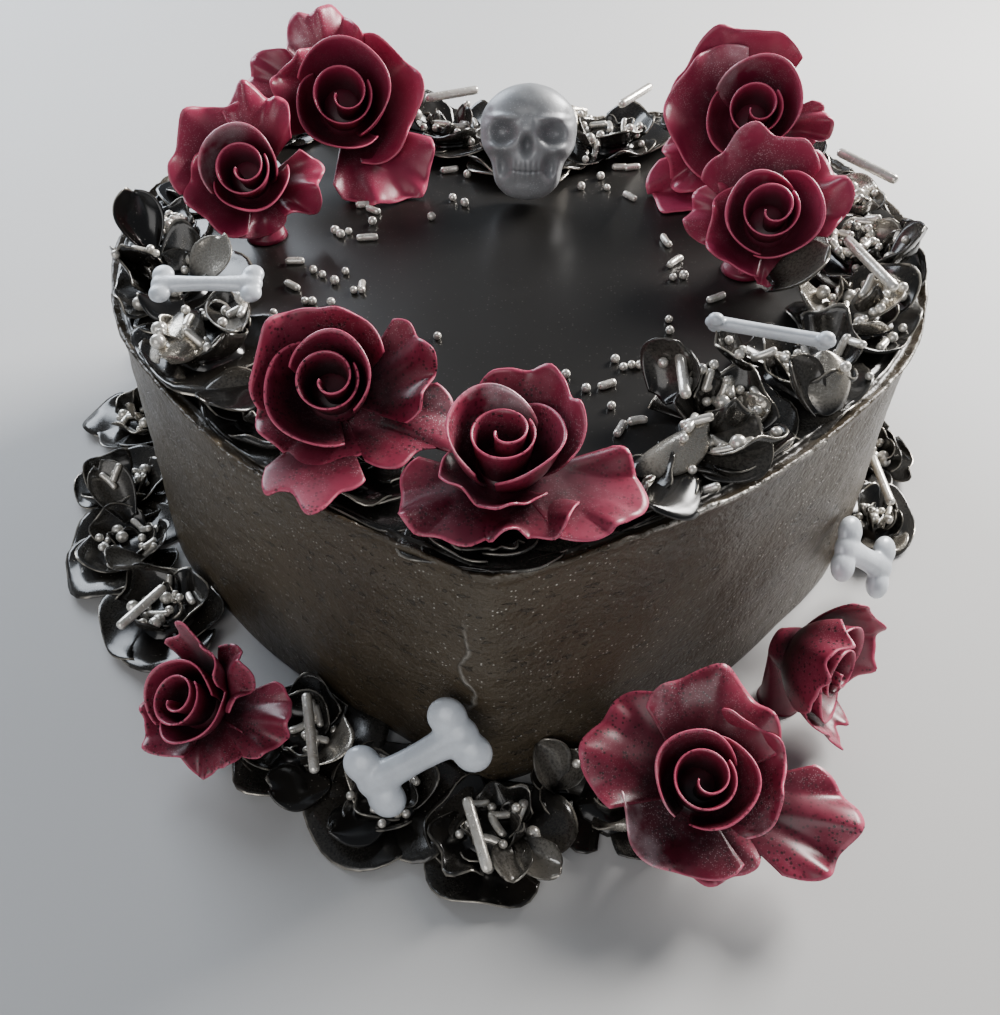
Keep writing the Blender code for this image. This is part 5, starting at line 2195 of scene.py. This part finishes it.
# Sprinkles seen one by one on the smooth top: pearls by place, rods by place and heading
TOP_PEARLS = (
    (-43, 31), (-36, 46), (-26, 35), (-21, 47), (-17, 44), (-18, 62), (-53, 25), (-51, 23), (-49, 25),
    (-55, 4), (-52, 2), (-48, -1), (-46, 4), (-42, -5), (-54, -11), (-52, -11), (-47, -11), (-61, -17),
    (19, 70), (18, 57), (27, 78), (24, 64), (26, 57), (44, 8), (47, 9), (42, -12), (42, -17), (28, -30),
    (32, -32), (34, -32), (30, -33), (27, -48), (39, -38), (38, -44), (46, -46), (49, -45), (48, -48),
    (54, -50), (53, -36), (57, -34), (42, -66), (44, -71), (88, -36), (-17, -24), (16, -37), (21, -42),
    (76, 13),
)
TOP_RODS = (
    (-47, 41, 0.3), (-44, 38, -0.5), (-24, 65, 0.4), (-43, 22, 0.2), (-61, 8, 0.1), (-40, -3, 1.7),
    (-59, -4, -0.6), (30, 71, 0.1), (34, 71, 0.3), (34, 83, 2.0), (33, 52, -0.8), (43, 27, 1.9),
    (45, 16, 0.9), (55, -1, 0.6), (26, -40, 0.5), (29, -56, 1.2), (33, -53, 0.3), (52, -47, 1.4),
    (58, -49, 2.2), (44, -62, 1.2), (48, -75, -0.6), (94, -22, 1.0),
)
# Long rods: both ends
LONG_RODS = (
    ((-46.0, -90.0, 15.0), (-40.0, -110.0, 11.5)),
    ((-2.0, -115.0, 14.0), (4.5, -131.0, 10.5)),
    ((-102.5, -72.0, 13.5), (-94.0, -57.5, 14.5)),
    ((117.2, 14.0, 13.5), (119.2, -7.0, 13.0)),
    ((87.0, 7.0, 95.0), (95.5, -14.0, 94.0)),
    ((94.0, 60.0, 93.5), (108.0, 44.0, 93.0)),
    ((29.0, 82.0, 96.0), (39.0, 97.0, 96.0)),
    ((-33.0, 82.0, 96.0), (-17.0, 90.0, 96.0)),
    ((41.5, -42.0, 93.0), (42.5, -56.0, 91.0)),
)


def share_out(curls: tuple, rim: list[PipedFlower], foot: list[PipedFlower]) -> None:
    """Give each broad sheet to the flower that it starts nearest to.

    Args:
        curls: The sheets.
        rim: The flowers on the rim.
        foot: The flowers round the foot.
    """
    for curl in curls:
        row = rim if curl.start[2] > CAKE_TOP else foot
        nearest = min(row, key=lambda flower: math.dist(flower.middle[:2], curl.start[:2]))
        nearest.curls.append(curl)


def main() -> None:
    """Build every piece of the cake in order."""
    logging.basicConfig(level=logging.INFO, format="%(message)s")
    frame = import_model()
    LOG.info("%d solids in the frame", len(frame["nodes"]))
    outline = HeartOutline()
    border = PipedBorder(outline)
    rim, foot = border.rim(), border.foot()
    share_out(CURLS, rim, foot)
    shapes = [IcedHeart(outline).build(IcingFinish().build())]
    piping = PipingFinish().build()
    shapes += [flower.build(piping) for flower in rim + foot]
    icing_faces = sum(len(shape.faces) for shape in shapes)
    heart = outline.ring(HEART_POINTS)[1]
    specks_and_shade, plain = RoseFinish().build(), REAR_ROSES.build()
    shapes += [rose.build(plain if rose.eye[1] > 0 else specks_and_shade, heart) for rose in ROSES]
    shapes.append(Skull().build(SKULL_PASTE.build()))
    bone_paste = BONE_PASTE.build()
    for bone in BONES:
        bone.build(bone_paste)
    whole = Shape.join(shapes)
    silver = Sprinkles(BVHTree.FromPolygons(whole.points.tolist(), whole.faces), icing_faces)
    silver.strew_top()
    for number, flower in enumerate(rim):
        rods, pearls = RIM_STREWN.get(number, (0, 0))
        silver.cluster(flower, rods, pearls, RIM_SPREAD, RIM_SEED + number)
    for number, flower in enumerate(foot):
        silver.cluster(flower, *FOOT_STREWN, FOOT_SPREAD, FOOT_SEED + number)
    silver.build(SilverFinish().build(), ["cake"])
    Studio().build()


if __name__ == "__main__":
    main()
